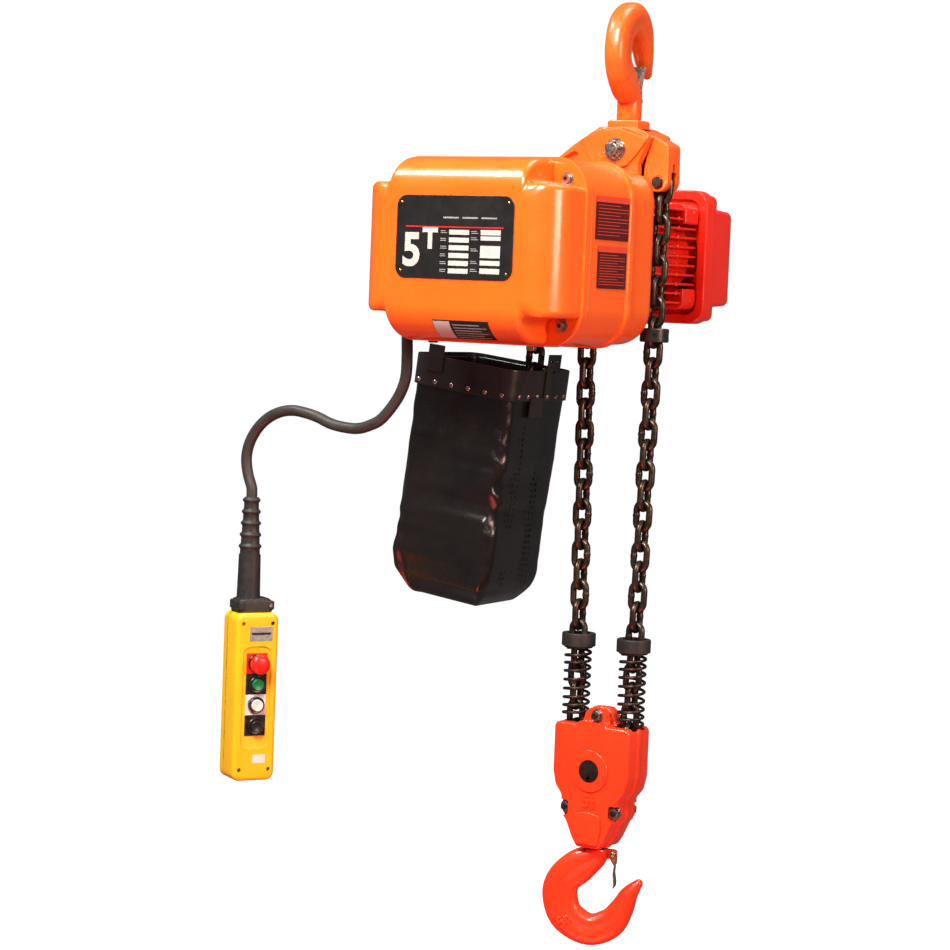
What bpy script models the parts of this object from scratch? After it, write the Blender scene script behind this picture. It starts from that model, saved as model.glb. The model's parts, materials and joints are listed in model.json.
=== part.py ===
"""Electric chain hoist for 5 t on two falls of chain, hanging from its top hook.

Metres, +Z up, origin at the seat of the top hook. The motor lies along +Y and
the nameplate faces -Y. Each named object is one physical piece.
"""
import bpy
import bmesh
from math import cos, pi, radians, sin, tau
from mathutils import Matrix, Vector

# ---- driving dimensions -------------------------------------------------
GAP = 0.0004                 # running gap between touching pieces
DRIVE = Vector((-0.108, 0.0, -0.370))   # motor and load sheave axis, along Y
PITCH = 0.034                # chain pitch
LINK_WIDTH = 0.0355          # outside width of a link
WIRE = 0.0056                # chain wire radius
LINK_STEPS = 2               # facets round each end of a link
LOAD_R = 0.044               # load sheave pitch radius
BLOCK_R = 0.051              # block sheave pitch radius
BLOCK_Z = -1.231             # block sheave axle
ANCHOR = Vector((0.072, 0.0, -0.246))   # dead-end anchor pin
ANCHOR_SEAT = 0.0088         # the end link bears on top of its pin
SLACK_LEAN, SLACK_END = 0.018, -0.640
LIFT_LINKS = (17, 44)        # links of the chain that ride with the block
BITE, FREE = 0.0007, -0.0020 # how far fused links sink together, or stand apart

BODY_HW, BODY_HH, BODY_R = 0.190, 0.150, 0.060
COVER_FRONT, COVER_BACK = -0.350, -0.242
COVER_EDGE = 0.058           # rounding between the cover's face and sides
COVER_POCKET = (0.127, 0.104)   # inner corner of each screw pocket, from the drive axis
COVER_SCREW = (0.153, 0.114)    # screw's distance from the drive axis, across and up
BASE_FRONT, BASE_BACK = -0.2396, -0.1044
CASE_BACK = -0.025
HOUSING_FRONT = -0.040       # the chain's housing and the frame lie behind this
MOTOR_FRONT, MOTOR_BACK, FAN_BACK = 0.042, 0.270, 0.390
MOTOR_RISE = 0.009           # motor casings sit this much above the shaft
WALL = 0.005
LEVER_PIN = Vector((-0.186, 0.0, -0.4810))
MODULE = 0.0044              # gears
PINION_TEETH, WHEEL_TEETH = 8, 24
COUNTER = DRIVE + Vector((0, 0, MODULE * (PINION_TEETH + WHEEL_TEETH) / 2))

HOOK_TURN_TOP = radians(99)  # azimuth of the top hook's tip
HOOK_TURN_LOW = radians(20)
TOP_BOWL = -0.030            # centre of the top hook's bowl
LOW_BOWL = -1.453
YOKE_PIN_Z = -0.194
BLOCK_TOP, BLOCK_FOOT = -1.152, -1.3640
BLOCK_HALF_Y = 0.036
SPRING_TOP = -1.030
BUMPER_TOP = -1.005

PENDANT = Vector((-0.583, -0.2215, -1.150))
PENDANT_TURN = radians(60)
PENDANT_HW, PENDANT_HH = 0.039, 0.146
CABLE_R = 0.0098
CABLE_EXIT = Vector((-0.277, -0.2215, -0.5004))
BOOT_X, BOOT_TOP, BOOT_FOOT = -0.5910, -0.8066, -0.9800

BAG_TILT = radians(6.5)
BAG_AT = Vector((-0.232, -0.023, -0.560))
BAG_HX, BAG_HY, BAG_DEPTH = 0.100, 0.094, 0.405

# name: (colour, roughness, metallic)
FINISHES = {
    "orange": ((0.90, 0.17, 0.025), 0.35, 0.0),
    "red": ((0.82, 0.055, 0.015), 0.38, 0.0),
    "hook_red": ((0.86, 0.065, 0.012), 0.35, 0.0),
    "steel": ((0.42, 0.41, 0.40), 0.40, 1.0),
    "chain": ((0.085, 0.062, 0.048), 0.42, 0.9),
    "zinc": ((0.70, 0.62, 0.38), 0.32, 1.0),
    "rubber": ((0.018, 0.018, 0.020), 0.62, 0.0),
    "vinyl": ((0.012, 0.012, 0.013), 0.30, 0.0),
    "gasket": ((0.55, 0.66, 0.50), 0.60, 0.0),
    "plate": ((0.015, 0.015, 0.016), 0.35, 0.0),
    "yellow": ((0.85, 0.62, 0.020), 0.42, 0.0),
    "stop_red": ((0.80, 0.070, 0.055), 0.40, 0.0),
    "start_green": ((0.010, 0.19, 0.070), 0.40, 0.0),
    "white": ((0.80, 0.80, 0.76), 0.45, 0.0),
    "copper": ((0.60, 0.25, 0.10), 0.40, 0.9),
}


# ---- helpers ------------------------------------------------------------
def clear_scene():
    for obj in list(bpy.data.objects):
        bpy.data.objects.remove(obj, do_unlink=True)


def material(name):
    """Return the Principled material of a finish, made once."""
    found = bpy.data.materials.get(name)
    if found:
        return found
    colour, roughness, metallic = FINISHES[name]
    made = bpy.data.materials.new(name)
    made.use_nodes = True
    shader = made.node_tree.nodes["Principled BSDF"]
    shader.inputs["Base Color"].default_value = (*colour, 1.0)
    shader.inputs["Roughness"].default_value = roughness
    shader.inputs["Metallic"].default_value = metallic
    return made


def piece(name, bm, finish, origin=(0, 0, 0), turn=None, smooth=True):
    """Turn a bmesh in world metres into a named object with its origin placed."""
    if turn:
        bm.transform(turn)
    bm.transform(Matrix.Translation(-Vector(origin)))
    bmesh.ops.recalc_face_normals(bm, faces=bm.faces)
    mesh = bpy.data.meshes.new(name)
    bm.to_mesh(mesh)
    bm.free()
    if smooth:
        mesh.shade_smooth()
        mesh.set_sharp_from_angle(angle=radians(35))
    mesh.materials.append(material(finish))
    obj = bpy.data.objects.new(name, mesh)
    obj.location = origin
    bpy.context.collection.objects.link(obj)
    return obj


def tool(target, bm, operation="DIFFERENCE"):
    """Cut or join a helper shape with a Boolean modifier."""
    count = len(target.modifiers)
    helper = piece(f"tool_{target.name}_{count}", bm, "steel", smooth=False)
    helper.hide_render = True
    helper.display_type = "WIRE"
    modifier = target.modifiers.new(f"shape_{count}", "BOOLEAN")
    modifier.operation = operation
    modifier.solver = "EXACT"
    modifier.object = helper
    return target


def join(target, bm):
    return tool(target, bm, "UNION")


def loft(loops, closed=False):
    """Skin equal loops of points; cap the ends unless the skin closes on itself."""
    bm = bmesh.new()
    rows = [[bm.verts.new(p) for p in loop] for loop in loops]
    count = len(rows[0])
    pairs = list(zip(rows, rows[1:]))
    if closed:
        pairs.append((rows[-1], rows[0]))
    for low, high in pairs:
        for i in range(count):
            j = (i + 1) % count
            bm.faces.new((low[i], low[j], high[j], high[i]))
    if not closed:
        bm.faces.new(rows[0])
        bm.faces.new(rows[-1])
    return bm


def on_axis(axis, centre, radial, height, angle):
    """Point at a radius, height and angle about an axis through centre."""
    a, b = radial * cos(angle), radial * sin(angle)
    x, y, z = {"X": (height, a, b), "Y": (a, height, b), "Z": (a, b, height)}[axis]
    return Vector(centre) + Vector((x, y, z))


def turned(profile, centre, axis="Z", sides=20, closed=False):
    """Body of revolution through (radius, height) points."""
    loops = [[on_axis(axis, centre, r, h, tau * i / sides) for i in range(sides)]
             for r, h in profile]
    return loft(loops, closed)


def ring(inner, outer, low, high, centre, axis="Z", sides=20):
    profile = [(inner, low), (outer, low), (outer, high), (inner, high)]
    return turned(profile, centre, axis, sides, closed=True)


def rod(radius, low, high, centre, axis="Z", sides=16):
    return turned([(radius, low), (radius, high)], centre, axis, sides)


def hexagon_bolt(across, head, shank, length, centre, axis="Y"):
    """Hexagon head at heights 0..head and a round shank from 0 down to -length."""
    def loop(radius, height, hexed):
        flat = cos(radians(30))
        return [on_axis(axis, centre, radius * (flat if hexed and i % 2 else 1.0), height,
                        tau * i / 12) for i in range(12)]
    rim = across / 2 / cos(radians(30))
    return loft([loop(shank, -length, False), loop(shank, 0, False), loop(rim, 0, True),
                 loop(rim, head, True)])


def box(low, high):
    (x0, y0, z0), (x1, y1, z1) = low, high
    return loft([[(x0, y0, z), (x1, y0, z), (x1, y1, z), (x0, y1, z)] for z in (z0, z1)])


def prism(outline, low, high, axis="Y"):
    """Extrude a flat outline along an axis."""
    place = {"X": lambda a, b, h: (h, a, b), "Y": lambda a, b, h: (a, h, b),
             "Z": lambda a, b, h: (a, b, h)}[axis]
    return loft([[place(a, b, h) for a, b in outline] for h in (low, high)])


def mirrored(half):
    """Close a right-hand half outline with its mirror image."""
    return half + [(-x, z) for x, z in reversed(half)]


def rounded(hw, hh, radius, steps=4, centre=(0.0, 0.0)):
    """Rectangle outline with round corners, anticlockwise from the right."""
    points = []
    for quarter, (sx, sy) in enumerate(((1, 1), (-1, 1), (-1, -1), (1, -1))):
        for step in range(steps + 1):
            angle = pi / 2 * (quarter + step / steps)
            points.append((centre[0] + sx * (hw - radius) + radius * cos(angle),
                           centre[1] + sy * (hh - radius) + radius * sin(angle)))
    return points


def notched(hw, hh, across, down):
    """Rectangle outline whose four corners are cut in for the screws."""
    corner = [(0, -down - 0.012), (-0.004, -down - 0.003), (-0.013, -down),
              (-across + 0.007, -down), (-across, -down + 0.007), (-across - 0.004, -0.004),
              (-across - 0.015, 0)]
    points = []
    for sx, sy in ((1, 1), (-1, 1), (-1, -1), (1, -1)):
        run = [(sx * (hw + dx), sy * (hh + dz)) for dx, dz in corner]
        points += run if sx * sy > 0 else list(reversed(run))
    return points


def section(outline, y, centre=DRIVE):
    return [(centre.x + x, y, centre.z + z) for x, z in outline]


def curve_through(points, count):
    """Even samples of a Catmull-Rom curve through hand-placed points."""
    ends = [points[0]] + list(points) + [points[-1]]
    samples = []
    for n in range(count):
        place = n / (count - 1) * (len(points) - 1)
        i = min(int(place), len(points) - 2)
        t = place - i
        a, b, c, d = (Vector(p) for p in ends[i:i + 4])
        samples.append(0.5 * (2 * b + (c - a) * t + (2 * a - 5 * b + 4 * c - d) * t ** 2
                              + (3 * b - a - 3 * c + d) * t ** 3))
    return samples


# ---- hooks --------------------------------------------------------------
# in-plane position (across, up) from the bowl centre, then width and thickness
HOOK_LINE = [
    (0.000, 0.084, 0.041, 0.041), (-0.004, 0.071, 0.044, 0.041), (-0.027, 0.054, 0.058, 0.040),
    (-0.053, 0.030, 0.058, 0.038), (-0.060, 0.002, 0.060, 0.038), (-0.047, -0.034, 0.058, 0.040),
    (-0.008, -0.054, 0.053, 0.042), (0.028, -0.041, 0.051, 0.040), (0.047, -0.014, 0.041, 0.036),
    (0.059, 0.012, 0.030, 0.030), (0.076, 0.034, 0.014, 0.016)]
HOOK_STATIONS, HOOK_SIDES = 20, 10
LATCH_PIVOT = (0.0290, 0.0790)


def hook_frame(bowl_z, azimuth, upright):
    """Matrix from hook plane (across, normal, up) to the world."""
    up = Vector((0, 0, 1 if upright else -1))
    across = Vector((cos(azimuth), sin(azimuth), 0))
    normal = up.cross(across)
    frame = Matrix((across, normal, up)).transposed().to_4x4()
    frame.translation = (0, 0, bowl_z)
    return frame


def hook_body(name, bowl_z, azimuth, upright, shank_end, stub, finish):
    stations = curve_through(HOOK_LINE_VECTORS, HOOK_STATIONS)
    widths = curve_through(HOOK_WIDTH_VECTORS, HOOK_STATIONS)
    loops = []
    for i, point in enumerate(stations):
        before, after = stations[max(i - 1, 0)], stations[min(i + 1, len(stations) - 1)]
        along = (after - before).normalized()
        if i == 0:
            along = Vector((0, 0, -1))
        side = Vector((-along.z, 0, along.x))
        wide, thick = widths[i].x / 2, widths[i].z / 2
        loops.append([point + side * wide * cos(tau * k / HOOK_SIDES)
                      + Vector((0, thick * sin(tau * k / HOOK_SIDES), 0))
                      for k in range(HOOK_SIDES)])
    shank = [[(r * cos(tau * k / HOOK_SIDES), r * sin(tau * k / HOOK_SIDES), h)
              for k in range(HOOK_SIDES)]
             for r, h in ((0.0113, shank_end + stub), (0.0113, shank_end), (0.0205, shank_end))]
    frame = hook_frame(bowl_z, azimuth, upright)
    hook = piece(name, loft(shank + loops), finish, origin=(0, 0, bowl_z), turn=frame)
    ear = box((0.012, -0.0050, LATCH_PIVOT[1] - 0.0065),
              (LATCH_PIVOT[0] + 0.0060, 0.0050, LATCH_PIVOT[1] + 0.0065))
    ear.transform(frame)
    join(hook, ear)
    bore = rod(0.0034, -0.02, 0.02, (LATCH_PIVOT[0], 0, LATCH_PIVOT[1]), "Y", 12)
    bore.transform(frame)
    tool(hook, bore)
    return hook


HOOK_LINE_VECTORS = [(a, 0, b) for a, b, _, _ in HOOK_LINE]
HOOK_WIDTH_VECTORS = [(w, 0, t) for _, _, w, t in HOOK_LINE]


def hook_latch(name, bowl_z, azimuth, upright):
    """Sprung plate across the throat: two cheeks, a tongue and its pin."""
    frame = hook_frame(bowl_z, azimuth, upright)
    px, pz = LATCH_PIVOT
    tip = (0.0345, 0.0215)
    cheek = [(px - 0.0055, pz + 0.004), (px - 0.0030, pz - 0.012), (px + 0.0052, pz - 0.012),
             (px + 0.0060, pz + 0.004)]
    tongue = [(px - 0.0030, pz - 0.0100), (px + 0.0015, pz - 0.0300), (tip[0] - 0.0028, tip[1]),
              (tip[0], tip[1]), (px + 0.0050, pz - 0.0300), (px + 0.0052, pz - 0.0100)]
    pivot = frame @ Vector((px, 0, pz))
    latch = piece(name, prism(tongue, -0.0145, 0.0145), "zinc", origin=pivot, turn=frame)
    for low, high in ((-0.0086, -0.0056), (0.0056, 0.0086)):
        side = prism(cheek, low, high)
        side.transform(frame)
        join(latch, side)
    pin = rod(0.0030, -0.0100, 0.0100, (px, 0, pz), "Y", 10)
    pin.transform(frame)
    join(latch, pin)
    return latch


def hook_nut(name, low, high):
    return piece(name, ring(0.0117, 0.0165, low, high, (0, 0, 0), "Z", 6 * 2), "steel")


# ---- suspension ---------------------------------------------------------
def hook_yoke():
    yoke = piece("hook_yoke", box((-0.0290, -0.0212, -0.2140), (0.0290, 0.0212, -0.1434)),
                 "orange", origin=(0, 0, YOKE_PIN_Z))
    tool(yoke, rod(0.0118, -0.20, -0.10, (0, 0, 0), "Z"))
    tool(yoke, box((-0.04, -0.0178, -0.1780), (0.04, 0.0178, -0.1575)))
    tool(yoke, rod(0.0114, -0.05, 0.05, (0, 0, YOKE_PIN_Z), "Y"))
    return yoke


def yoke_pin():
    profile = [(0.0108, -0.0560), (0.0108, 0.0400), (0.0150, 0.0400), (0.0150, 0.0460)]
    return piece("yoke_pin", turned(profile, (0, 0, YOKE_PIN_Z), "Y"), "steel")


def castle_nut():
    """Slotted nut on the yoke pin, with its split pin through the slots."""
    at = (0, 0, YOKE_PIN_Z)
    nut = piece("castle_nut", ring(0.0112, 0.0158, -0.0530, -0.0400, at, "Y", 12), "steel")
    for angle in (0, pi / 3, 2 * pi / 3):
        slot = box((-0.030, -0.0560, -0.0022), (0.030, -0.0490, 0.0022))
        slot.transform(Matrix.Translation(at) @ Matrix.Rotation(angle, 4, "Y"))
        tool(nut, slot)
    return nut


def suspension_frame():
    outline = [(-0.130, -0.2620), (-0.130, -0.2200), (-0.082, -0.1830), (-0.034, -0.1560),
               (0.030, -0.1560), (0.074, -0.1740), (0.092, -0.2080), (0.092, -0.2560),
               (0.084, -0.2620)]
    frame = piece("suspension_frame", prism(outline, -0.0394, 0.0394), "orange")
    tool(frame, box((-0.048, -0.0220, -0.2360), (0.046, 0.0220, -0.10)))
    tool(frame, box((0.0510, -0.0080, -0.30), (0.110, 0.0080, -0.2150)))
    tool(frame, rod(0.0113, -0.08, 0.08, (0, 0, YOKE_PIN_Z), "Y"))
    tool(frame, rod(0.0053, -0.08, 0.08, ANCHOR, "Y", 12))
    tool(frame, box((0.0420, -0.0500, -0.28), (0.120, -0.0190, -0.2150)))
    tool(frame, box((0.0420, 0.0190, -0.28), (0.120, 0.0500, -0.2150)))
    return frame


def anchor_pin():
    return piece("anchor_pin", hexagon_bolt(0.017, 0.007, 0.0050, 0.0440,
                                            ANCHOR + Vector((0, -0.0194, 0)), "Y"), "steel",
                 turn=Matrix.Translation(ANCHOR + Vector((0, -0.0194, 0)))
                 @ Matrix.Rotation(pi, 4, "Z")
                 @ Matrix.Translation(-(ANCHOR + Vector((0, -0.0194, 0)))))


# ---- hoist body ---------------------------------------------------------
def front_cover():
    """Open-backed shell with screw pockets cut into its four corners."""
    def outer(turn, wall=0.0):
        """Outline at an angle of the edge's rounding, or of its inner face."""
        inset = 0.002 + (COVER_EDGE - 0.002) * (1 - cos(turn)) + wall
        hw, hh = BODY_HW - inset, BODY_HH - inset
        cut = [max(half - at + wall, 0.014) for half, at in zip((hw, hh), COVER_POCKET)]
        return section(notched(hw, hh, *cut), COVER_FRONT + COVER_EDGE * (1 - sin(turn)) + wall)
    flange = rounded(BODY_HW, BODY_HH, BODY_R, 6)
    turns = [radians(30 * n) for n in range(4)]
    inner = [outer(turn, WALL) for turn in reversed(turns)]
    back = [(x, COVER_BACK, z) for x, y, z in inner[-1]]
    face = [(x, COVER_BACK - 0.0182, z) for x, y, z in outer(0.0)]
    loops = inner + [back, section(flange, COVER_BACK), section(flange, COVER_BACK - 0.018), face]
    loops += [outer(turn) for turn in turns]
    return piece("front_cover", loft(loops), "orange")


def cover_screws():
    for index, (sx, sz) in enumerate(((1, 1), (-1, 1), (-1, -1), (1, -1)), 1):
        at = DRIVE + Vector((sx * COVER_SCREW[0], 0, sz * COVER_SCREW[1]))
        centre = at + Vector((0, COVER_BACK - 0.0186, 0))
        head = turned([(0.0075, 0.0), (0.0075, -0.0070)], centre, "Y", 12)
        screw = piece(f"cover_screw_{index}", head, "steel")
        tool(screw, rod(0.0036, -0.0120, -0.0035, centre, "Y", 6))


def cover_gasket():
    loops = [section(rounded(hw, hh, r, 6), y)
             for hw, hh, r, y in ((0.184, 0.144, 0.054, -0.2416), (0.1885, 0.1485, 0.0585, -0.2416),
                                  (0.1885, 0.1485, 0.0585, -0.2400), (0.184, 0.144, 0.054, -0.2400))]
    return piece("cover_gasket", loft(loops, closed=True), "gasket")


def control_base():
    """Tray for the electrics, open to the cover, with the cable's notch in a corner."""
    def loop(y, inset):
        return section(rounded(0.188 - inset, 0.148 - inset, 0.058 - inset, 6), y)
    loops = [loop(BASE_BACK - 0.008, 0.010), loop(BASE_FRONT, 0.006), loop(BASE_FRONT, 0),
             loop(-0.150, 0), loop(BASE_BACK - 0.006, 0.003), loop(BASE_BACK, 0.006)]
    base = piece("control_base", loft(loops), "orange")
    tool(base, rod(0.0142, -0.2, 0.0, DRIVE, "Y", 16))
    pocket = box((-0.310, -0.2390, -0.530), (-0.256, -0.200, -0.4740))
    wall = box((-0.2910, -0.2390, -0.4740), (-0.2500, -0.1940, -0.4680))
    liner = box((-0.2560, -0.2390, -0.5100), (-0.2500, -0.1940, -0.4680))
    back = box((-0.2910, -0.2000, -0.4980), (-0.2500, -0.1940, -0.4680))
    join(base, wall)
    join(base, liner)
    join(base, back)
    tool(base, pocket)
    return base


def gearbox_casing():
    """Open-fronted cup round the gears, closed by the base's back wall."""
    def loop(y, hw, hh, r):
        return section(rounded(hw, hh, r, 6), y)
    loops = [loop(CASE_BACK - 0.009, 0.158, 0.136, 0.040), loop(BASE_BACK + GAP, 0.174, 0.138, 0.050),
             loop(BASE_BACK + GAP, 0.186, 0.146, 0.060), loop(-0.045, 0.185, 0.145, 0.060),
             loop(-0.031, 0.181, 0.142, 0.058), loop(CASE_BACK, 0.173, 0.136, 0.050)]
    case = piece("gearbox_casing", loft(loops), "orange")
    tool(case, box((-0.1960, HOUSING_FRONT, -0.53), (-0.0220, 0.0, -0.2610)))
    tool(case, box((-0.1306, HOUSING_FRONT, -0.2640), (0.0430, 0.0, -0.20)))
    join(case, box((-0.1980, HOUSING_FRONT - 0.006, -0.5100), (0.0440, HOUSING_FRONT, -0.2300)))
    tool(case, rod(0.0225, -0.2, 0.2, DRIVE, "Y", 20))
    return case


def sheave_housing():
    """Inverted trough over the load sheave, open below for the chain."""
    x, z = DRIVE.x, DRIVE.z
    outline = [(x - 0.078, z - 0.100), (x - 0.078, z + 0.060), (x - 0.050, -0.2624),
               (x + 0.062, -0.2624), (x + 0.078, z + 0.060), (x + 0.078, z - 0.100),
               (x + 0.070, z - 0.100)]
    arch = [(x + 0.070 * cos(a), z + 0.070 * sin(a)) for a in
            (pi * n / 12 for n in range(13))]
    outline += arch + [(x - 0.070, z - 0.100)]
    housing = piece("sheave_housing", prism(outline, HOUSING_FRONT + GAP, MOTOR_FRONT - GAP), "red")
    for low, high in ((HOUSING_FRONT + GAP, -0.0345), (0.0345, MOTOR_FRONT - GAP)):
        ear = box((LEVER_PIN.x - 0.007, low, LEVER_PIN.z - 0.009), (-0.1790, high, -0.4600))
        join(housing, ear)
    return housing


def motor_housing():
    """Barrel with level cooling fins down both sides and the stator's bore."""
    radius, reach, half, count, spread = 0.0860, 0.0980, 0.0026, 11, 0.0806
    side = [(0.0, -radius)]
    for n in range(count):
        level = spread * (2 * n / (count - 1) - 1)
        for edge, tip in ((level - half, False), (level - half, True),
                          (level + half, True), (level + half, False)):
            side.append((reach if tip else (radius ** 2 - edge ** 2) ** 0.5, edge))
    side.append((0.0, radius))
    outline = side + [(-x, z) for x, z in reversed(side[1:-1])]
    placed = [(DRIVE.x + x, DRIVE.z + MOTOR_RISE + z) for x, z in outline]
    barrel = piece("motor_housing", prism(placed, MOTOR_FRONT + 0.008, MOTOR_BACK), "red")
    join(barrel, rod(0.0990, MOTOR_FRONT, MOTOR_FRONT + 0.012, DRIVE, "Y", 24))
    tool(barrel, rod(0.0700, MOTOR_FRONT + 0.0200, 0.40, DRIVE, "Y", 24))
    return tool(barrel, rod(0.0230, -0.10, 0.40, DRIVE, "Y", 20))


def fan_cover():
    """Deep square cap with cut-in corners, open towards the motor."""
    def loop(y, hw, hh, cut):
        shape = notched(hw, hh, 0.030, 0.028) if cut else rounded(hw, hh, 0.030, 6)
        return section(shape, y, DRIVE + Vector((0, 0, MOTOR_RISE)))
    loops = [loop(FAN_BACK - WALL, 0.088, 0.086, True), loop(0.330, 0.106, 0.108, True),
             loop(MOTOR_BACK + GAP, 0.110, 0.110, False), loop(MOTOR_BACK + GAP, 0.116, 0.116, False),
             loop(0.300, 0.117, 0.117, False), loop(0.3002, 0.116, 0.116, True),
             loop(0.364, 0.112, 0.112, True), loop(0.382, 0.106, 0.106, True),
             loop(FAN_BACK, 0.094, 0.092, True)]
    cover = piece("fan_cover", loft(loops), "red")
    for side in (-1, 1):
        for row in range(3):
            z = DRIVE.z - 0.030 + 0.030 * row
            x = DRIVE.x + side * 0.040
            tool(cover, box((x - 0.024, 0.360, z - 0.004), (x + 0.024, 0.410, z + 0.004)))
    return cover


def nameplate():
    centre = DRIVE + Vector((0.003, 0, 0.017))
    outline = rounded(0.1110, 0.0660, 0.018, 4)
    loops = [section(outline, y, centre) for y in (COVER_FRONT - 0.0018, COVER_FRONT - GAP)]
    return piece("nameplate", loft(loops), "plate")


# ---- drive --------------------------------------------------------------
def gear_outline(teeth, centre, phase):
    """Straight-flanked teeth, slim enough to run with clearance."""
    pitch_r = MODULE * teeth / 2
    points = []
    for n in range(teeth):
        mid = phase + tau * n / teeth
        for half, radius in ((-0.37, pitch_r - 1.20 * MODULE), (-0.13, pitch_r + 0.72 * MODULE),
                             (0.13, pitch_r + 0.72 * MODULE), (0.37, pitch_r - 1.20 * MODULE)):
            angle = mid + half * tau / teeth
            points.append((centre.x + radius * cos(angle), centre.z + radius * sin(angle)))
    return points


def gear_train():
    up, down = pi / 2, -pi / 2
    shaft = piece("rotor_shaft", rod(0.0085, -0.0950, 0.3300, DRIVE, "Y", 12), "steel",
                  origin=DRIVE)
    join(shaft, prism(gear_outline(PINION_TEETH, DRIVE, up), -0.0960, -0.0800))
    join(shaft, rod(0.0440, 0.0900, 0.1800, DRIVE, "Y", 20))
    counter = piece("countershaft", rod(0.0080, -0.1000, -0.0500, COUNTER, "Y", 12), "steel",
                    origin=COUNTER)
    join(counter, prism(gear_outline(PINION_TEETH, COUNTER, down), -0.0740, -0.0540))
    half_tooth = pi / WHEEL_TEETH
    join(counter, prism(gear_outline(WHEEL_TEETH, COUNTER, down + half_tooth), -0.0950, -0.0810))
    load = piece("load_gear",
                 prism(gear_outline(WHEEL_TEETH, DRIVE, up + half_tooth), -0.0730, -0.0560),
                 "steel", origin=DRIVE)
    tool(load, rod(0.0186, -0.2, 0.0, DRIVE, "Y", 20))


def sheave_profile(radius, bore):
    """Turned chain sheave: seats for flat links, a groove for upright ones."""
    seat, groove = radius - 0.0125, radius - 0.0240
    return [(bore, -0.0185), (seat, -0.0185), (seat, -0.0072), (groove, -0.0072),
            (groove, 0.0072), (seat, 0.0072), (seat, 0.0185), (bore, 0.0185)]


def load_sheave():
    sheave = piece("load_sheave", turned(sheave_profile(LOAD_R, 0.0110), DRIVE, "Y", 20, True),
                   "steel", origin=DRIVE)
    join(sheave, ring(0.0110, 0.0180, -0.0740, 0.0380, DRIVE, "Y", 20))
    return sheave


def motor_insides():
    piece("stator", ring(0.0455, 0.0696, 0.0880, 0.1820, DRIVE, "Y", 24), "copper")
    piece("brake_disc", ring(0.0088, 0.0480, 0.2200, 0.2260, DRIVE, "Y", 20), "steel",
          origin=DRIVE)
    fan = piece("motor_fan", ring(0.0088, 0.0700, 0.2900, 0.2940, DRIVE, "Y", 16), "rubber",
                origin=DRIVE)
    join(fan, ring(0.0088, 0.0180, 0.2900, 0.3120, DRIVE, "Y", 16))
    for n in range(6):
        blade = box((0.0160, 0.2930, -0.0015), (0.0660, 0.3120, 0.0015))
        blade.transform(Matrix.Translation(DRIVE) @ Matrix.Rotation(tau * n / 6, 4, "Y"))
        join(fan, blade)
    piece("contactor", box((-0.190, -0.200, -0.350), (-0.130, -0.1130, -0.270)), "rubber",
          smooth=False)


# ---- chain --------------------------------------------------------------
def chain_route():
    """Dense XZ polyline from the anchor, under the block and over the load sheave."""
    route = [(ANCHOR.x, ANCHOR.z + ANCHOR_SEAT), (BLOCK_R, BLOCK_Z)]
    route += [(BLOCK_R * cos(a), BLOCK_Z + BLOCK_R * sin(a))
              for a in (-pi * n / 24 for n in range(1, 25))]
    route += [(DRIVE.x + LOAD_R * cos(a), DRIVE.z + LOAD_R * sin(a))
              for a in (pi * n / 24 for n in range(25))]
    route.append((DRIVE.x - LOAD_R - SLACK_LEAN, SLACK_END))
    return [Vector((x, 0, z)) for x, z in route]


def point_at(route, distance):
    for start, end in zip(route, route[1:]):
        span = (end - start).length
        if distance <= span:
            return start.lerp(end, distance / span)
        distance -= span
    return route[-1]


def link_mesh(bm, centre, along, upright, wire, bites):
    """One link of four-sided wire; bites are for its last and first end."""
    along = along.normalized()
    across = Vector((-along.z, 0, along.x)) if upright else Vector((0, 1, 0))
    normal = along.cross(across)
    bend = LINK_WIDTH / 2 - WIRE
    rings = []
    for end, bite in zip((1, -1), bites):
        straight = PITCH / 2 + wire - bite - bend
        for step in range(LINK_STEPS + 1):
            angle = pi / 2 - pi * step / LINK_STEPS + (0 if end > 0 else -pi)
            out = along * cos(angle) + across * sin(angle)
            middle = centre + along * (end * straight) + out * bend
            rings.append([bm.verts.new(middle + out * wire * cos(t) + normal * wire * sin(t))
                          for t in (tau * k / 4 for k in range(4))])
    for low, high in zip(rings, rings[1:] + rings[:1]):
        for i in range(4):
            j = (i + 1) % 4
            bm.faces.new((low[i], low[j], high[j], high[i]))


def chain_stretch(name, first, last, wire=WIRE + 0.0002, start=BITE, end=BITE):
    """Links first..last-1 of the route as one body: evens joined with odds."""
    route = chain_route()
    pair = (bmesh.new(), bmesh.new())
    for index in range(first, last):
        a = point_at(route, index * PITCH)
        b = point_at(route, (index + 1) * PITCH)
        bites = (end if index == last - 1 else BITE, start if index == first else BITE)
        link_mesh(pair[index % 2], (a + b) / 2, b - a, index % 2 == 0, wire, bites)
    chain = piece(name, pair[first % 2], "chain")
    return join(chain, pair[1 - first % 2])


def load_chain():
    first, last = LIFT_LINKS
    route = chain_route()
    length = sum((b - a).length for a, b in zip(route, route[1:]))
    chain_stretch("load_chain_dead_end", 0, first)
    chain_stretch("load_chain_block", first, last, wire=WIRE - 0.0004, start=FREE, end=FREE)
    chain_stretch("load_chain_upper", last, int(length / PITCH))


def stop_collar():
    x = ANCHOR.x + (BLOCK_R - ANCHOR.x) * (ANCHOR.z + 0.497) / (ANCHOR.z - BLOCK_Z)
    collar = piece("stop_collar", ring(0.0188, 0.0243, -0.5085, -0.4855, (x, 0, 0), "Z", 20),
                   "rubber")
    return collar


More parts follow.
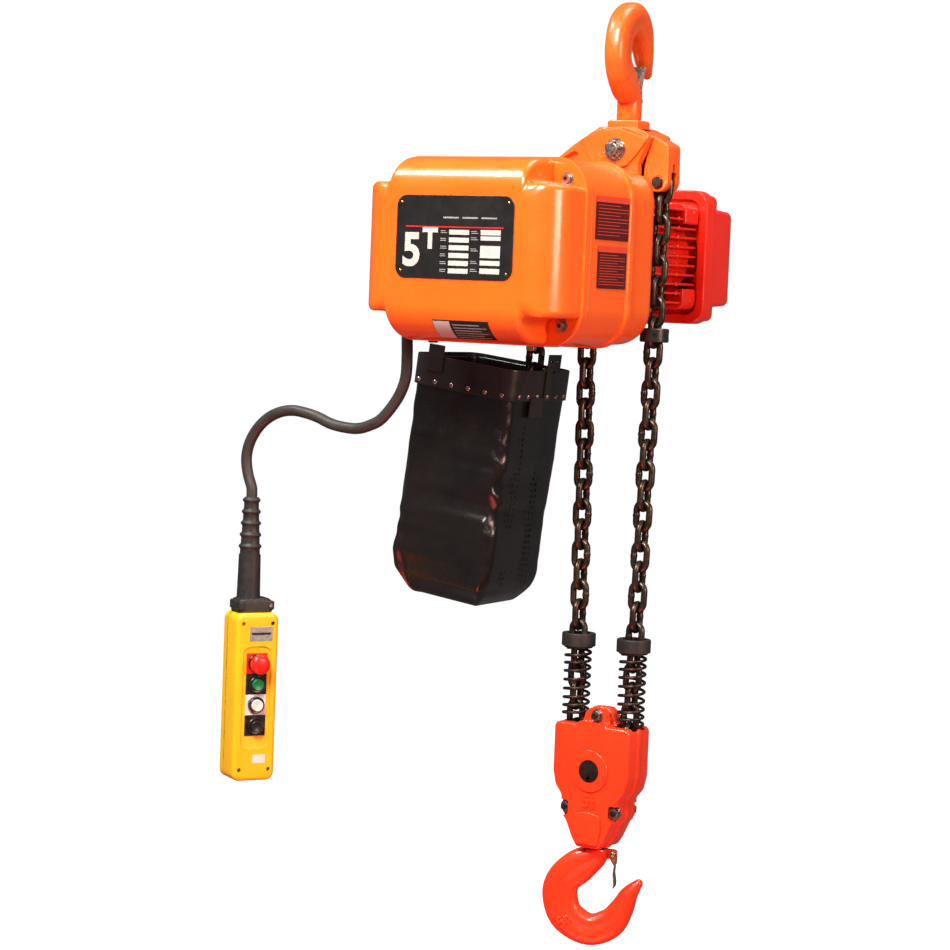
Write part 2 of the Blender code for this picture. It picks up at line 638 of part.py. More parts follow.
def limit_lever():
    """Plate under the load sheave that a bumper tips at the top of travel."""
    lever = piece("limit_lever", box((LEVER_PIN.x - 0.004, -0.0330, LEVER_PIN.z - 0.0080),
                                     (-0.0240, 0.0330, LEVER_PIN.z - 0.0030)),
                  "steel", origin=LEVER_PIN)
    join(lever, rod(0.0045, -0.0338, 0.0338, LEVER_PIN, "Y", 12))
    for low, high in ((-0.1780, -0.1300), (-0.0860, 0.0)):
        tool(lever, box((low, -0.0215, -0.52), (high, 0.0215, -0.4840)))
    return lever


# ---- hook block ---------------------------------------------------------
def fall_x(side, z):
    """Where the lead (-1) or dead-end (+1) fall passes a height."""
    top = ANCHOR if side > 0 else Vector((DRIVE.x + LOAD_R, 0, DRIVE.z))
    low = side * BLOCK_R
    return low + (top.x - low) * (z - BLOCK_Z) / (top.z - BLOCK_Z)


def bumpers_and_springs():
    for side, fall in ((-1, "lead"), (1, "dead_end")):
        x = fall_x(side, -1.09)
        piece(f"bumper_{fall}",
              turned([(0.0200, SPRING_TOP), (0.0245, SPRING_TOP), (0.0245, SPRING_TOP + 0.003),
                      (0.0288, SPRING_TOP + 0.003), (0.0288, BUMPER_TOP), (0.0200, BUMPER_TOP)],
                     (x, 0, 0), "Z", 20, closed=True),
              "rubber", origin=(x, 0, SPRING_TOP))
        spring(f"buffer_spring_{fall}", x)


def spring(name, x):
    """Buffer coil standing on the block's shoulder round the fall."""
    wire, coil, turns, steps = 0.0026, 0.0212, 8, 8
    low, high = BLOCK_TOP + 0.0032, SPRING_TOP - 0.0032
    loops = []
    for n in range(turns * steps + 1):
        share = n / (turns * steps)
        angle = tau * turns * share
        out = Vector((cos(angle), sin(angle), 0))
        centre = Vector((x, 0, low + (high - low) * share)) + out * coil
        loops.append([centre + out * wire * cos(t) + Vector((0, 0, wire * sin(t)))
                      for t in (tau * k / 4 + pi / 4 for k in range(4))])
    return piece(name, loft(loops), "chain", origin=(x, 0, BLOCK_TOP))


def block_outline():
    half = [(0.0215, BLOCK_FOOT), (0.0330, -1.3480), (0.0460, -1.3220), (0.0575, -1.3080),
            (0.0575, -1.2900), (0.0560, -1.2810), (0.0670, -1.2620), (0.0745, -1.2380),
            (0.0745, BLOCK_TOP)]
    lug = [(0.0270, BLOCK_TOP), (0.0230, -1.1330), (0.0130, -1.1245)]
    return mirrored(half + lug)


def block_half(name, side):
    """One cast cheek of the hook block, hollow for the sheave and chain."""
    inner, outer = side * GAP / 2, side * BLOCK_HALF_Y
    low, high = sorted((inner, outer))
    half = piece(name, prism(block_outline(), low, high), "hook_red")
    step = side * (BLOCK_HALF_Y - 0.002)
    boss = sorted((step, side * (BLOCK_HALF_Y + 0.0030)))
    join(half, rod(0.0357, boss[0], boss[1], (0, 0, BLOCK_Z), "Y", 24))
    pad = [(0.0230, -1.3560), (0.0260, -1.3300), (0.0230, -1.3010)]
    join(half, prism(mirrored(pad), *sorted((step, side * (BLOCK_HALF_Y + 0.0050)))))
    span = (-0.0198, 0.0198)
    tool(half, rod(0.0705, *span, (0, 0, BLOCK_Z), "Y", 24))
    for across in (-1, 1):
        xs = sorted((across * 0.0310, across * 0.0712))
        tool(half, box((xs[0], span[0], BLOCK_Z), (xs[1], span[1], -1.10)))
    tool(half, rod(0.0193, -0.06, 0.06, (0, 0, BLOCK_Z), "Y", 20))
    tool(half, rod(0.0118, -1.40, -1.32, (0, 0, 0), "Z"))
    tool(half, rod(0.0172, -1.3280, -1.3060, (0, 0, 0), "Z"))
    for x, z in BLOCK_BOLTS.values():
        tool(half, rod(0.0053, -0.06, 0.06, (x, 0, z), "Y", 12))
    for across in (-1, 1):
        face = sorted((side * 0.0250, side * 0.0500))
        xs = sorted((across * 0.0375, across * 0.0700))
        tool(half, box((xs[0], face[0], -1.3120), (xs[1], face[1], -1.2850)))
    ear = sorted((side * 0.0180, side * 0.0500))
    tool(half, box((-0.030, ear[0], BLOCK_TOP), (0.030, ear[1], -1.10)))
    return half


BLOCK_BOLTS = {"top": (0.0, -1.1390), "left": (-0.0475, -1.2975), "right": (0.0475, -1.2975)}


def block_bolts():
    for name, (x, z) in BLOCK_BOLTS.items():
        depth = 0.0184 if name == "top" else 0.0254
        at = Vector((x, -depth, z))
        flip = Matrix.Translation(at) @ Matrix.Rotation(pi, 4, "Z") @ Matrix.Translation(-at)
        piece(f"block_bolt_{name}", hexagon_bolt(0.0160, 0.0070, 0.0050, 2 * depth + 0.006, at),
              "steel", turn=flip)


def block_moving():
    piece("block_axle", rod(0.0190, -0.0400, 0.0400, (0, 0, BLOCK_Z), "Y", 20), "steel")
    piece("block_sheave", turned(sheave_profile(BLOCK_R, 0.0194), (0, 0, BLOCK_Z), "Y", 24, True),
          "steel", origin=(0, 0, BLOCK_Z))


# ---- chain bag ----------------------------------------------------------
def bag_matrix():
    return Matrix.Translation(BAG_AT) @ Matrix.Rotation(BAG_TILT, 4, "Y")


def chain_bag():
    """Open-mouthed bag: outer wall down, round the foot, inner wall back up."""
    def loop(z, hx, hy, corner, shift=0.0):
        return [(x + shift, y, z) for x, y in rounded(hx, hy, corner, 3)]
    wall, foot = 0.0030, -BAG_DEPTH
    outer = [(-0.002, 0.0, 0.000), (-0.060, 0.0, 0.000), (-0.200, 0.004, -0.002),
             (foot + 0.030, 0.000, -0.006), (foot + 0.006, -0.018, -0.006), (foot, -0.040, -0.006)]
    loops = [loop(z + (wall if z == foot else 0), BAG_HX + grow - wall, BAG_HY + grow - wall,
                  0.018, shift) for z, grow, shift in reversed(outer)]
    loops += [loop(z, BAG_HX + grow, BAG_HY + grow, 0.020, shift) for z, grow, shift in outer]
    return piece("chain_bag", loft(loops), "vinyl", turn=bag_matrix())


def bag_band():
    """Steel band round the bag's mouth with the two hangers that hold it."""
    def loop(z, grow):
        return [(x, y, z) for x, y in rounded(BAG_HX + grow, BAG_HY + grow, 0.020 + grow, 3)]
    profile = [(-0.046, 0.0005), (-0.046, 0.0035), (0.006, 0.0035), (0.006, 0.0005)]
    band = piece("bag_band", loft([loop(z, grow) for z, grow in profile], closed=True), "rubber",
                 turn=bag_matrix())
    right = box((BAG_HX + 0.0020, 0.004, -0.046), (BAG_HX + 0.0065, 0.044, 0.034))
    left = box((-0.070, -BAG_HY - 0.0065, -0.020), (-0.038, -BAG_HY - 0.0020, 0.026))
    for hanger in (right, left):
        hanger.transform(bag_matrix())
        join(band, hanger)
    return band


# ---- pendant ------------------------------------------------------------
CABLE_POINTS = [
    (-0.2770, -0.5004), (-0.2770, -0.5200), (-0.2758, -0.5474), (-0.2774, -0.5859),
    (-0.2920, -0.6194), (-0.3214, -0.6538), (-0.3465, -0.6674), (-0.3720, -0.6743),
    (-0.4018, -0.6736), (-0.4281, -0.6693), (-0.4549, -0.6602), (-0.4817, -0.6543),
    (-0.5085, -0.6517), (-0.5352, -0.6559), (-0.5617, -0.6681), (-0.5841, -0.6879),
    (-0.6000, -0.7137), (-0.6055, -0.7400), (-0.6010, -0.7668), (-0.5925, -0.7880),
    (-0.5911, -0.7980), (-0.5910, -0.8061)]


def cable_gland():
    profile = [(0.0145, -0.4744), (0.0145, -0.4900), (0.0110, -0.5000)]
    return piece("cable_gland", turned(profile, (CABLE_EXIT.x, CABLE_EXIT.y, 0), "Z", 12), "rubber")


def pendant_cable():
    path = curve_through([(x, CABLE_EXIT.y, z) for x, z in CABLE_POINTS], 40)
    curve = bpy.data.curves.new("pendant_cable", "CURVE")
    curve.dimensions = "3D"
    curve.bevel_depth = CABLE_R
    curve.bevel_resolution = 2
    curve.use_fill_caps = True
    curve.resolution_u = 1
    curve.render_resolution_u = 0
    spline = curve.splines.new("POLY")
    spline.points.add(len(path) - 1)
    for point, place in zip(spline.points, path):
        point.co = (*place, 1.0)
    curve.materials.append(material("rubber"))
    cable = bpy.data.objects.new("pendant_cable", curve)
    bpy.context.collection.objects.link(cable)
    return cable


def pendant_boot():
    profile = [(0.0120, BOOT_TOP)]
    for n in range(5):
        z = BOOT_TOP - 0.004 - 0.0195 * n
        grow = 0.0120 + 0.0012 * n
        profile += [(grow + 0.0030, z), (grow + 0.0030, z - 0.004), (grow + 0.0004, z - 0.0045)]
    profile += [(0.0190, -0.905), (0.0205, BOOT_FOOT)]
    return piece("pendant_boot", turned(profile, (BOOT_X, CABLE_EXIT.y, 0), "Z", 12), "rubber")


def pendant_matrix():
    return Matrix.Translation(PENDANT) @ Matrix.Rotation(PENDANT_TURN, 4, "Z")


def pendant_shells():
    turn = pendant_matrix()
    def shell(y_levels, insets):
        return loft([[(x, y, z) for x, z in rounded(PENDANT_HW - i, PENDANT_HH - i, 0.012, 3)]
                     for y, i in zip(y_levels, insets)])
    front = piece("pendant_front", shell((-0.0340, -0.0300, 0.0080), (0.005, 0.0, 0.0)),
                  "yellow", turn=turn)
    for _, z, _, _ in BUTTONS.values():
        well = rod(0.0118, -0.060, -0.012, (0, 0, z), "Y", 16)
        well.transform(turn)
        tool(front, well)
    piece("pendant_seal", shell((0.0084, 0.0116), (0.002, 0.002)), "rubber", turn=turn)
    piece("pendant_back", shell((0.0120, 0.0280, 0.0320), (0.0, 0.0, 0.005)), "yellow", turn=turn)
    neck = [[(x, y, z) for x, y in rounded(hx, hy, 0.010, 3)]
            for z, hx, hy in ((0.1464, 0.032, 0.024), (0.1660, 0.030, 0.023), (0.1696, 0.026, 0.021))]
    piece("pendant_neck", loft(neck), "rubber", turn=turn)


# name: (finish, height on the face, cap radius, how far it stands out)
BUTTONS = {"emergency_stop": ("stop_red", 0.0590, 0.0170, 0.0250),
           "start_button": ("start_green", 0.0230, 0.0100, 0.0110),
           "up_button": ("white", -0.0130, 0.0100, 0.0110),
           "down_button": ("plate", -0.0490, 0.0100, 0.0110)}


def pendant_buttons():
    turn = pendant_matrix()
    for name, (finish, z, radius, stand) in BUTTONS.items():
        face = -0.0340
        profile = [(0.0100, face + 0.0140), (0.0100, face - 0.0080), (radius, face - 0.0080),
                   (radius, face - stand + 0.002), (radius - 0.003, face - stand)]
        piece(name, turned(profile, (0, 0, z), "Y", 16), finish, turn=turn,
              origin=turn @ Vector((0, face, z)))


def main():
    clear_scene()
    hook_body("top_hook", TOP_BOWL, HOOK_TURN_TOP, False, 0.1130, 0.0315, "orange")
    hook_latch("top_hook_latch", TOP_BOWL, HOOK_TURN_TOP, False)
    hook_nut("top_hook_nut", -0.1745, -0.1585)
    hook_yoke()
    yoke_pin()
    castle_nut()
    suspension_frame()
    anchor_pin()
    front_cover()
    cover_screws()
    cover_gasket()
    control_base()
    gearbox_casing()
    sheave_housing()
    motor_housing()
    fan_cover()
    nameplate()
    gear_train()
    load_sheave()
    motor_insides()
    load_chain()
    stop_collar()
    limit_lever()
    bumpers_and_springs()
    block_half("block_front_half", -1)
    block_half("block_back_half", 1)
    block_bolts()
    block_moving()
    hook_nut("bottom_hook_nut", -1.3270, -1.3110)
    hook_body("bottom_hook", LOW_BOWL, HOOK_TURN_LOW, True, 0.0866, 0.0566, "hook_red")
    hook_latch("bottom_hook_latch", LOW_BOWL, HOOK_TURN_LOW, True)
    chain_bag()
    bag_band()
    cable_gland()
    pendant_cable()
    pendant_boot()
    pendant_shells()
    pendant_buttons()


main()
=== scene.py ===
"""Finish of the electric chain hoist: fine shapes, soft goods, surfaces, camera and studio.

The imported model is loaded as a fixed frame. Fine pieces stand for the plain solids,
the solids that keep their shape get a material, and each piece rides on its own body.
Metres, +Z up, origin at the seat of the top hook, the nameplate facing -Y.
"""

import json
import logging
from collections.abc import Callable, Sequence
from dataclasses import dataclass, field
from enum import Enum
from math import cos, exp, pi, radians, sin, sqrt, tan, tau

import bmesh
import bpy
from mathutils import Matrix, Vector, noise


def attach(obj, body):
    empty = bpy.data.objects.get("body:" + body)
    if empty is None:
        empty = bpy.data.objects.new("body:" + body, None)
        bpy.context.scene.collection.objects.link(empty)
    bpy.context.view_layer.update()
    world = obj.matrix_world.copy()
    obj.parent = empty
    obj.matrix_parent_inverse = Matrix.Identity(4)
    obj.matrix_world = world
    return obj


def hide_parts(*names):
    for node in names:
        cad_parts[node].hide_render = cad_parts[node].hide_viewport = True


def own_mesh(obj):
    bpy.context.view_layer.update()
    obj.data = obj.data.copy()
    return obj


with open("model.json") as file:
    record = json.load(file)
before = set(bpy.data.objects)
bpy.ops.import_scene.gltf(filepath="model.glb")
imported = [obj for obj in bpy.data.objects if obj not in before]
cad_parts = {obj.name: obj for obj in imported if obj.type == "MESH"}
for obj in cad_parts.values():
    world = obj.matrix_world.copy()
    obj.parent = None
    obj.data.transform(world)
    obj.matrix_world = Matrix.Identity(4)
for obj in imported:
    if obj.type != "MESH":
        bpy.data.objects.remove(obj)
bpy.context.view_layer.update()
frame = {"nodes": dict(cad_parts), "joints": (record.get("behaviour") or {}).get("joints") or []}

LOG = logging.getLogger("chain_hoist")
Point = tuple[float, float]
Ring = list[Vector]
JOINT = {joint["name"]: joint for joint in frame["joints"]}
DRIVE = Vector(JOINT["load_sheave_spin"]["pos_m"])
BLOCK_AXLE = Vector(JOINT["block_sheave_spin"]["pos_m"])
YOKE_PIN = Vector(JOINT["hoist_tilt"]["pos_m"])
FACING = Matrix.Rotation(radians(90), 4, "X")     # stands a flat drawing up to face -Y
APART = 0.00123457        # lift per point that tells equal places in a ring apart


# ---- shaping by hand ----------------------------------------------------
class Axis(Enum):
    """Direction in which a round piece lies."""

    X = Matrix.Rotation(radians(90), 4, "Y")
    Y = Matrix.Rotation(radians(-90), 4, "X")
    Z = Matrix.Identity(4)


class Blank:
    """A mesh shaped from one primitive into a finished piece."""

    def __init__(self, name: str) -> None:
        """Take over the primitive that was just added, with its place in its mesh."""
        self.obj = bpy.context.active_object
        self.obj.name = name
        self.obj.data.name = name
        bpy.ops.object.transform_apply(location=True, rotation=True, scale=True)

    @staticmethod
    def clear() -> None:
        """Leave edit mode and deselect everything."""
        if bpy.context.active_object and bpy.context.active_object.mode != "OBJECT":
            bpy.ops.object.mode_set(mode="OBJECT")
        bpy.ops.object.select_all(action="DESELECT")

    @classmethod
    def cube(cls, name: str, low: Sequence[float], high: Sequence[float]) -> "Blank":
        """Add a block between two corners.

        Args:
            name: the piece's name.
            low: its lowest corner.
            high: its highest corner.

        Returns:
            The new blank.
        """
        cls.clear()
        low, high = Vector(low), Vector(high)
        bpy.ops.mesh.primitive_cube_add(size=1.0, location=(low + high) / 2, scale=high - low)
        return cls(name)

    @classmethod
    def rod(cls, name: str, radius: float, span: Point, centre: Sequence[float],
            axis: Axis = Axis.Z, sides: int = 32) -> "Blank":
        """Add a cylinder along an axis.

        Args:
            name: the piece's name.
            radius: its radius.
            span: its two ends, measured along the axis from centre.
            centre: a point on the axis.
            axis: the way it lies.
            sides: facets round it.

        Returns:
            The new blank.
        """
        cls.clear()
        turn = axis.value
        middle = Vector(centre) + turn.to_3x3() @ Vector((0, 0, (span[0] + span[1]) / 2))
        bpy.ops.mesh.primitive_cylinder_add(vertices=sides, radius=radius,
                                            depth=span[1] - span[0], location=middle,
                                            rotation=turn.to_euler())
        return cls(name)

    @classmethod
    def dome(cls, name: str, radius: float, height: float, centre: Sequence[float],
             axis: Axis = Axis.Z) -> "Blank":
        """Add a flattened ball, such as a rivet's head, centred on a point."""
        cls.clear()
        bpy.ops.mesh.primitive_uv_sphere_add(segments=16, ring_count=10, radius=radius,
                                             location=centre, rotation=axis.value.to_euler(),
                                             scale=(1.0, 1.0, height / radius))
        return cls(name)

    @classmethod
    def torus(cls, name: str, radius: float, wire: float, centre: Sequence[float],
              axis: Axis = Axis.Z, around: int = 40, sides: int = 12) -> "Blank":
        """Add a round ring of wire about an axis."""
        cls.clear()
        bpy.ops.mesh.primitive_torus_add(major_segments=around, minor_segments=sides,
                                         major_radius=radius, minor_radius=wire,
                                         location=centre, rotation=axis.value.to_euler())
        return cls(name)

    @classmethod
    def sweep(cls, name: str, rings: Sequence[Ring], capped: bool = True,
              looped: bool = False) -> "Blank":
        """Extrude a circle through a run of shaped rings.

        Args:
            name: the piece's name.
            rings: equal rings of points, in order.
            capped: whether the ends are filled.
            looped: whether the last ring meets the first again.

        Returns:
            The new blank.
        """
        cls.clear()
        fill = "NGON" if capped and not looped else "NOTHING"
        bpy.ops.mesh.primitive_circle_add(vertices=len(rings[0]), radius=1.0, fill_type=fill)
        obj = bpy.context.active_object
        bpy.ops.object.mode_set(mode="EDIT")
        bpy.ops.mesh.select_all(action="SELECT")
        mesh = bmesh.from_edit_mesh(obj.data)
        mesh.verts.ensure_lookup_table()
        count = len(rings[0])
        current = [mesh.verts[i] for i in range(count)]
        for vert, place in zip(current, rings[0]):
            vert.co = place
        for ring in list(rings[1:]) + ([rings[0]] if looped else []):
            for index, vert in enumerate(current):
                vert.co += Vector((0.0, 0.0, APART * index))
            order = {vert.co.to_tuple(6): i for i, vert in enumerate(current)}
            bmesh.update_edit_mesh(obj.data)
            if capped and not looped:
                bpy.ops.mesh.extrude_region_move()
            else:
                bpy.ops.mesh.extrude_edges_move()
            mesh = bmesh.from_edit_mesh(obj.data)
            fresh = sorted((v for v in mesh.verts if v.select),
                           key=lambda v: order[v.co.to_tuple(6)])
            mesh.verts.ensure_lookup_table()
            cls._settle(mesh, fresh)
            current = fresh
            for vert, place in zip(current, ring):
                vert.co = place
            bmesh.update_edit_mesh(obj.data)
        bpy.ops.object.mode_set(mode="OBJECT")
        return cls(name).tidy()

    @staticmethod
    def _settle(mesh: bmesh.types.BMesh, fresh: Sequence[bmesh.types.BMVert]) -> None:
        """Put the ring before the fresh one back in its place after it was told apart."""
        known = set(fresh)
        for index, vert in enumerate(fresh):
            for edge in vert.link_edges:
                other = edge.other_vert(vert)
                if other not in known:
                    other.co -= Vector((0.0, 0.0, APART * index))

    @classmethod
    def lathe(cls, name: str, profile: Sequence[Point], centre: Sequence[float],
              axis: Axis = Axis.Z, sides: int = 40, looped: bool = False) -> "Blank":
        """Turn a profile of (radius, height) points about an axis through centre."""
        place = Matrix.Translation(Vector(centre)) @ axis.value
        rings = [[place @ Vector((r * cos(tau * i / sides), r * sin(tau * i / sides), h))
                  for i in range(sides)] for r, h in profile]
        return cls.sweep(name, rings, looped=looped)

    @classmethod
    def slab(cls, name: str, outline: Sequence[Point], span: Point,
             edge: float = 0.0) -> "Blank":
        """Extrude an XZ outline between two depths along Y and round its edges."""
        rings = [[Vector((x, y, z)) for x, z in outline] for y in span]
        blank = cls.sweep(name, rings)
        return blank.bevel(edge, 3) if edge else blank

    @classmethod
    def patch(cls, name: str, rows: Sequence[Ring], thickness: float) -> "Blank":
        """Lay a thin sheet through rows of points, thickened towards its face.

        Args:
            name: the piece's name.
            rows: equal rows of points.
            thickness: how far it stands out.

        Returns:
            The new blank.
        """
        cls.clear()
        bpy.ops.mesh.primitive_grid_add(x_subdivisions=len(rows[0]) - 1,
                                        y_subdivisions=len(rows) - 1)
        places = [point for row in rows for point in row]
        for vert, place in zip(bpy.context.active_object.data.vertices, places):
            vert.co = place
        blank = cls(name)
        return blank.modify("SOLIDIFY", thickness=thickness, offset=1.0) if thickness else blank

    @classmethod
    def letters(cls, name: str, words: str, size: float, raise_by: float, place: Matrix,
                bold: float = 0.0) -> "Blank":
        """Cut a capacity mark as a solid and set it in place.

        Args:
            name: the piece's name.
            words: the mark.
            size: the height of its letters' line.
            raise_by: half its thickness.
            place: where its flat drawing is put.
            bold: how much each stroke is thickened.

        Returns:
            The new blank.
        """
        cls.clear()
        bpy.ops.object.text_add()
        text = bpy.context.active_object
        text.data.body = words
        text.data.size = size
        text.data.extrude = raise_by
        text.data.bevel_depth = raise_by * 0.35
        text.data.bevel_resolution = 1
        text.data.offset = bold
        text.data.align_x = "CENTER"
        text.data.align_y = "CENTER"
        text.data.resolution_u = 6
        bpy.ops.object.convert(target="MESH")
        bpy.context.active_object.data.transform(place)
        return cls(name)

    def activate(self) -> "Blank":
        """Make this the only selected object."""
        self.clear()
        self.obj.select_set(True)
        bpy.context.view_layer.objects.active = self.obj
        return self

    def modify(self, kind: str, **settings: object) -> "Blank":
        """Add a modifier with its settings and apply it."""
        self.activate()
        modifier = self.obj.modifiers.new(kind.lower(), kind)
        for key, value in settings.items():
            setattr(modifier, key, value)
        bpy.ops.object.modifier_apply(modifier=modifier.name)
        return self

    def bevel(self, width: float, segments: int = 2, angle: float = 32.0) -> "Blank":
        """Round every edge sharper than an angle, in degrees."""
        return self.modify("BEVEL", width=width, segments=segments, limit_method="ANGLE",
                           angle_limit=radians(angle), miter_outer="MITER_ARC")

    def cut(self, other: "Blank") -> "Blank":
        """Cut another blank's shape out of this one and use it up."""
        return self._combine(other, "DIFFERENCE")

    def weld(self, other: "Blank") -> "Blank":
        """Join another blank to this one as one body and use it up."""
        return self._combine(other, "UNION")

    def _combine(self, other: "Blank", operation: str) -> "Blank":
        """Apply a Boolean with another blank, then remove that one."""
        self.modify("BOOLEAN", operation=operation, object=other.obj, solver="EXACT")
        bpy.data.objects.remove(other.obj, do_unlink=True)
        return self

    def gather(self, others: Sequence["Blank"]) -> "Blank":
        """Make separate solids one piece."""
        self.activate()
        for other in others:
            other.obj.select_set(True)
        bpy.context.view_layer.objects.active = self.obj
        bpy.ops.object.join()
        return self

    def copied(self, name: str, place: Matrix) -> "Blank":
        """Copy this blank with its own mesh, moved by a matrix."""
        self.activate()
        bpy.ops.object.duplicate(linked=False)
        bpy.context.active_object.data.transform(place)
        if place.determinant() < 0:
            bpy.context.active_object.data.flip_normals()
        return Blank(name)

    def moved(self, place: Matrix) -> "Blank":
        """Move this blank's mesh by a matrix."""
        self.obj.data.transform(place)
        return self

    def choose(self, pick: Callable[[Vector, Vector], bool]) -> int:
        """Enter edit mode with only the faces chosen by centre and normal selected."""
        self.activate()
        bpy.ops.object.mode_set(mode="EDIT")
        bpy.ops.mesh.select_mode(type="FACE")
        bpy.ops.mesh.select_all(action="DESELECT")
        mesh = bmesh.from_edit_mesh(self.obj.data)
        found = [f for f in mesh.faces if pick(f.calc_center_median(), f.normal)]
        for face in found:
            face.select_set(True)
        bmesh.update_edit_mesh(self.obj.data)
        return len(found)

    def sink(self, pick: Callable[[Vector, Vector], bool], rim: float,
             by: Sequence[float]) -> "Blank":
        """Inset the chosen faces by a rim and move what is inside."""
        if self.choose(pick):
            bpy.ops.mesh.inset(thickness=rim, depth=0.0)
            bpy.ops.mesh.extrude_region_move(TRANSFORM_OT_translate={"value": tuple(by)})
        bpy.ops.object.mode_set(mode="OBJECT")
        return self

    def hollow(self, pick: Callable[[Vector, Vector], bool], wall: float) -> "Blank":
        """Open the chosen end and leave a wall of even thickness.

        Args:
            pick: chooses the end's faces by centre and normal.
            wall: the wall's thickness.

        Returns:
            This blank.
        """
        self.choose(pick)
        bpy.ops.mesh.delete(type="FACE")
        bpy.ops.object.mode_set(mode="OBJECT")
        return self.modify("SOLIDIFY", thickness=wall, offset=-1.0)

    def tidy(self) -> "Blank":
        """Merge doubles and turn every face outwards."""
        self.activate()
        bpy.ops.object.mode_set(mode="EDIT")
        bpy.ops.mesh.select_all(action="SELECT")
        bpy.ops.mesh.remove_doubles(threshold=1e-6)
        bpy.ops.mesh.normals_make_consistent(inside=False)
        bpy.ops.object.mode_set(mode="OBJECT")
        return self

    def smooth(self, angle: float = 35.0) -> "Blank":
        """Shade smooth, with edges sharper than an angle, in degrees, kept sharp."""
        self.activate()
        bpy.ops.object.shade_smooth_by_angle(angle=radians(angle))
        return self

    def done(self, body: str, slot: str, finish: "Finish", stands_for: Sequence[str] = (),
             angle: float = 35.0, even: bool = True) -> bpy.types.Object:
        """Finish the piece: clean its mesh, dress it and fasten it to its body.

        Args:
            body: the body it rides on.
            slot: the record's material slot; not used.
            finish: its surface.
            stands_for: the plain solids it replaces.
            angle: edges sharper than this stay sharp, in degrees.
            even: whether big faces lead the shading.

        Returns:
            The finished object.
        """
        self.tidy().smooth(angle)
        if even:
            self.modify("WEIGHTED_NORMAL", keep_sharp=True)
        self.obj.data.materials.clear()
        self.obj.data.materials.append(finish.material())
        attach(self.obj, body)
        if stands_for:
            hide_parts(*stands_for)
        LOG.info("%s on %s, %d faces", self.obj.name, body, len(self.obj.data.polygons))
        return self.obj


def curve_through(points: Sequence[Sequence[float]], count: int) -> list[Vector]:
    """Sample a smooth curve through given points.

    Args:
        points: the points it passes.
        count: how many samples, even in the points' own steps.

    Returns:
        The samples.
    """
    ends = [points[0], *points, points[-1]]
    samples = []
    for n in range(count):
        place = n / (count - 1) * (len(points) - 1)
        i = min(int(place), len(points) - 2)
        t = place - i
        a, b, c, d = (Vector(p) for p in ends[i:i + 4])
        samples.append(0.5 * (2 * b + (c - a) * t + (2 * a - 5 * b + 4 * c - d) * t ** 2
                              + (3 * b - a - 3 * c + d) * t ** 3))
    return samples


def filleted(corners: Sequence[tuple[float, float, float]], steps: int = 6) -> list[Point]:
    """Round each corner of an outline by its own radius.

    Args:
        corners: across, up and radius of each corner.
        steps: facets round each one.

    Returns:
        The outline's points.
    """
    outline = []
    for i, (x, z, radius) in enumerate(corners):
        corner = Vector((x, z))
        before = Vector(corners[i - 1][:2]) - corner
        after = Vector(corners[(i + 1) % len(corners)][:2]) - corner
        half = before.angle(after) / 2
        reach = min(radius / tan(half), 0.49 * before.length, 0.49 * after.length)
        radius = reach * tan(half)
        start, end = before.normalized(), after.normalized()
        centre = corner + (start + end).normalized() * (radius / sin(half))
        first, last = corner + start * reach - centre, corner + end * reach - centre
        for step in range(steps + 1):
            share = step / steps
            turn = first.angle(last, 0.0)
            if turn < 1e-4:
                out = first.lerp(last, share)
            else:
                out = (first * sin((1 - share) * turn) + last * sin(share * turn)) / sin(turn)
            outline.append(tuple(centre + out))
    turning = sum(a[0] * b[1] - b[0] * a[1] for a, b in zip(outline, outline[1:] + outline[:1]))
    return outline if turning > 0 else outline[::-1]


def shrunk(outline: Sequence[Point], by: float) -> list[Point]:
    """Offset a counter-clockwise outline inwards, or outwards if by is negative."""
    result = []
    for i, point in enumerate(outline):
        here = Vector(point)
        before = here - Vector(outline[i - 1])
        after = Vector(outline[(i + 1) % len(outline)]) - here
        before = before if before.length > 1e-7 else after
        after = after if after.length > 1e-7 else before
        along = (before.normalized() + after.normalized()).normalized()
        spread = max(cos(before.angle(after, 0.0) / 2), 0.5)
        result.append(tuple(here + Vector((-along.y, along.x)) * by / spread))
    return result


def softened(outline: Sequence[Point], face: float, back: float, soft: float,
             centre: Vector = DRIVE, steps: int = 5) -> list[Ring]:
    """Rings of a raised form from its back to its face, with a rounded front edge.

    Args:
        outline: counter-clockwise outline about centre.
        face: depth of its front.
        back: depth of its back.
        soft: radius of the front edge.
        centre: what the outline is drawn about.
        steps: facets round the edge.

    Returns:
        The rings, back first.
    """
    way = 1.0 if back > face else -1.0
    rings = [ring_at(outline, back, centre)]
    for step in range(steps + 1):
        turn = radians(90 * step / steps)
        rings.append(ring_at(shrunk(outline, soft * (1 - cos(turn))),
                             face + way * soft * (1 - sin(turn)), centre))
    return rings


def rounded(hw: float, hh: float, radius: float, steps: int = 20) -> list[Point]:
    """Outline of a rectangle with round corners, from its right side upwards."""
    return filleted([(hw, hh, radius), (-hw, hh, radius), (-hw, -hh, radius),
                     (hw, -hh, radius)], steps)


def pocketed(hw: float, hh: float, across: float, down: float, soft: float,
             steps: int = 6) -> list[Point]:
    """Outline of a rectangle whose four corners are cut in.

    Args:
        hw: half width.
        hh: half height.
        across: width of each cut-in.
        down: height of each cut-in.
        soft: radius of the three corners of each cut-in.
        steps: facets round each corner.

    Returns:
        The outline's points, from the right side upwards.
    """
    corners = []
    for sx, sz in ((1, 1), (-1, 1), (-1, -1), (1, -1)):
        run = [(sx * hw, sz * (hh - down), soft), (sx * (hw - across), sz * (hh - down), soft),
               (sx * (hw - across), sz * hh, soft)]
        corners += run if sx * sz > 0 else list(reversed(run))
    return filleted(corners, steps)


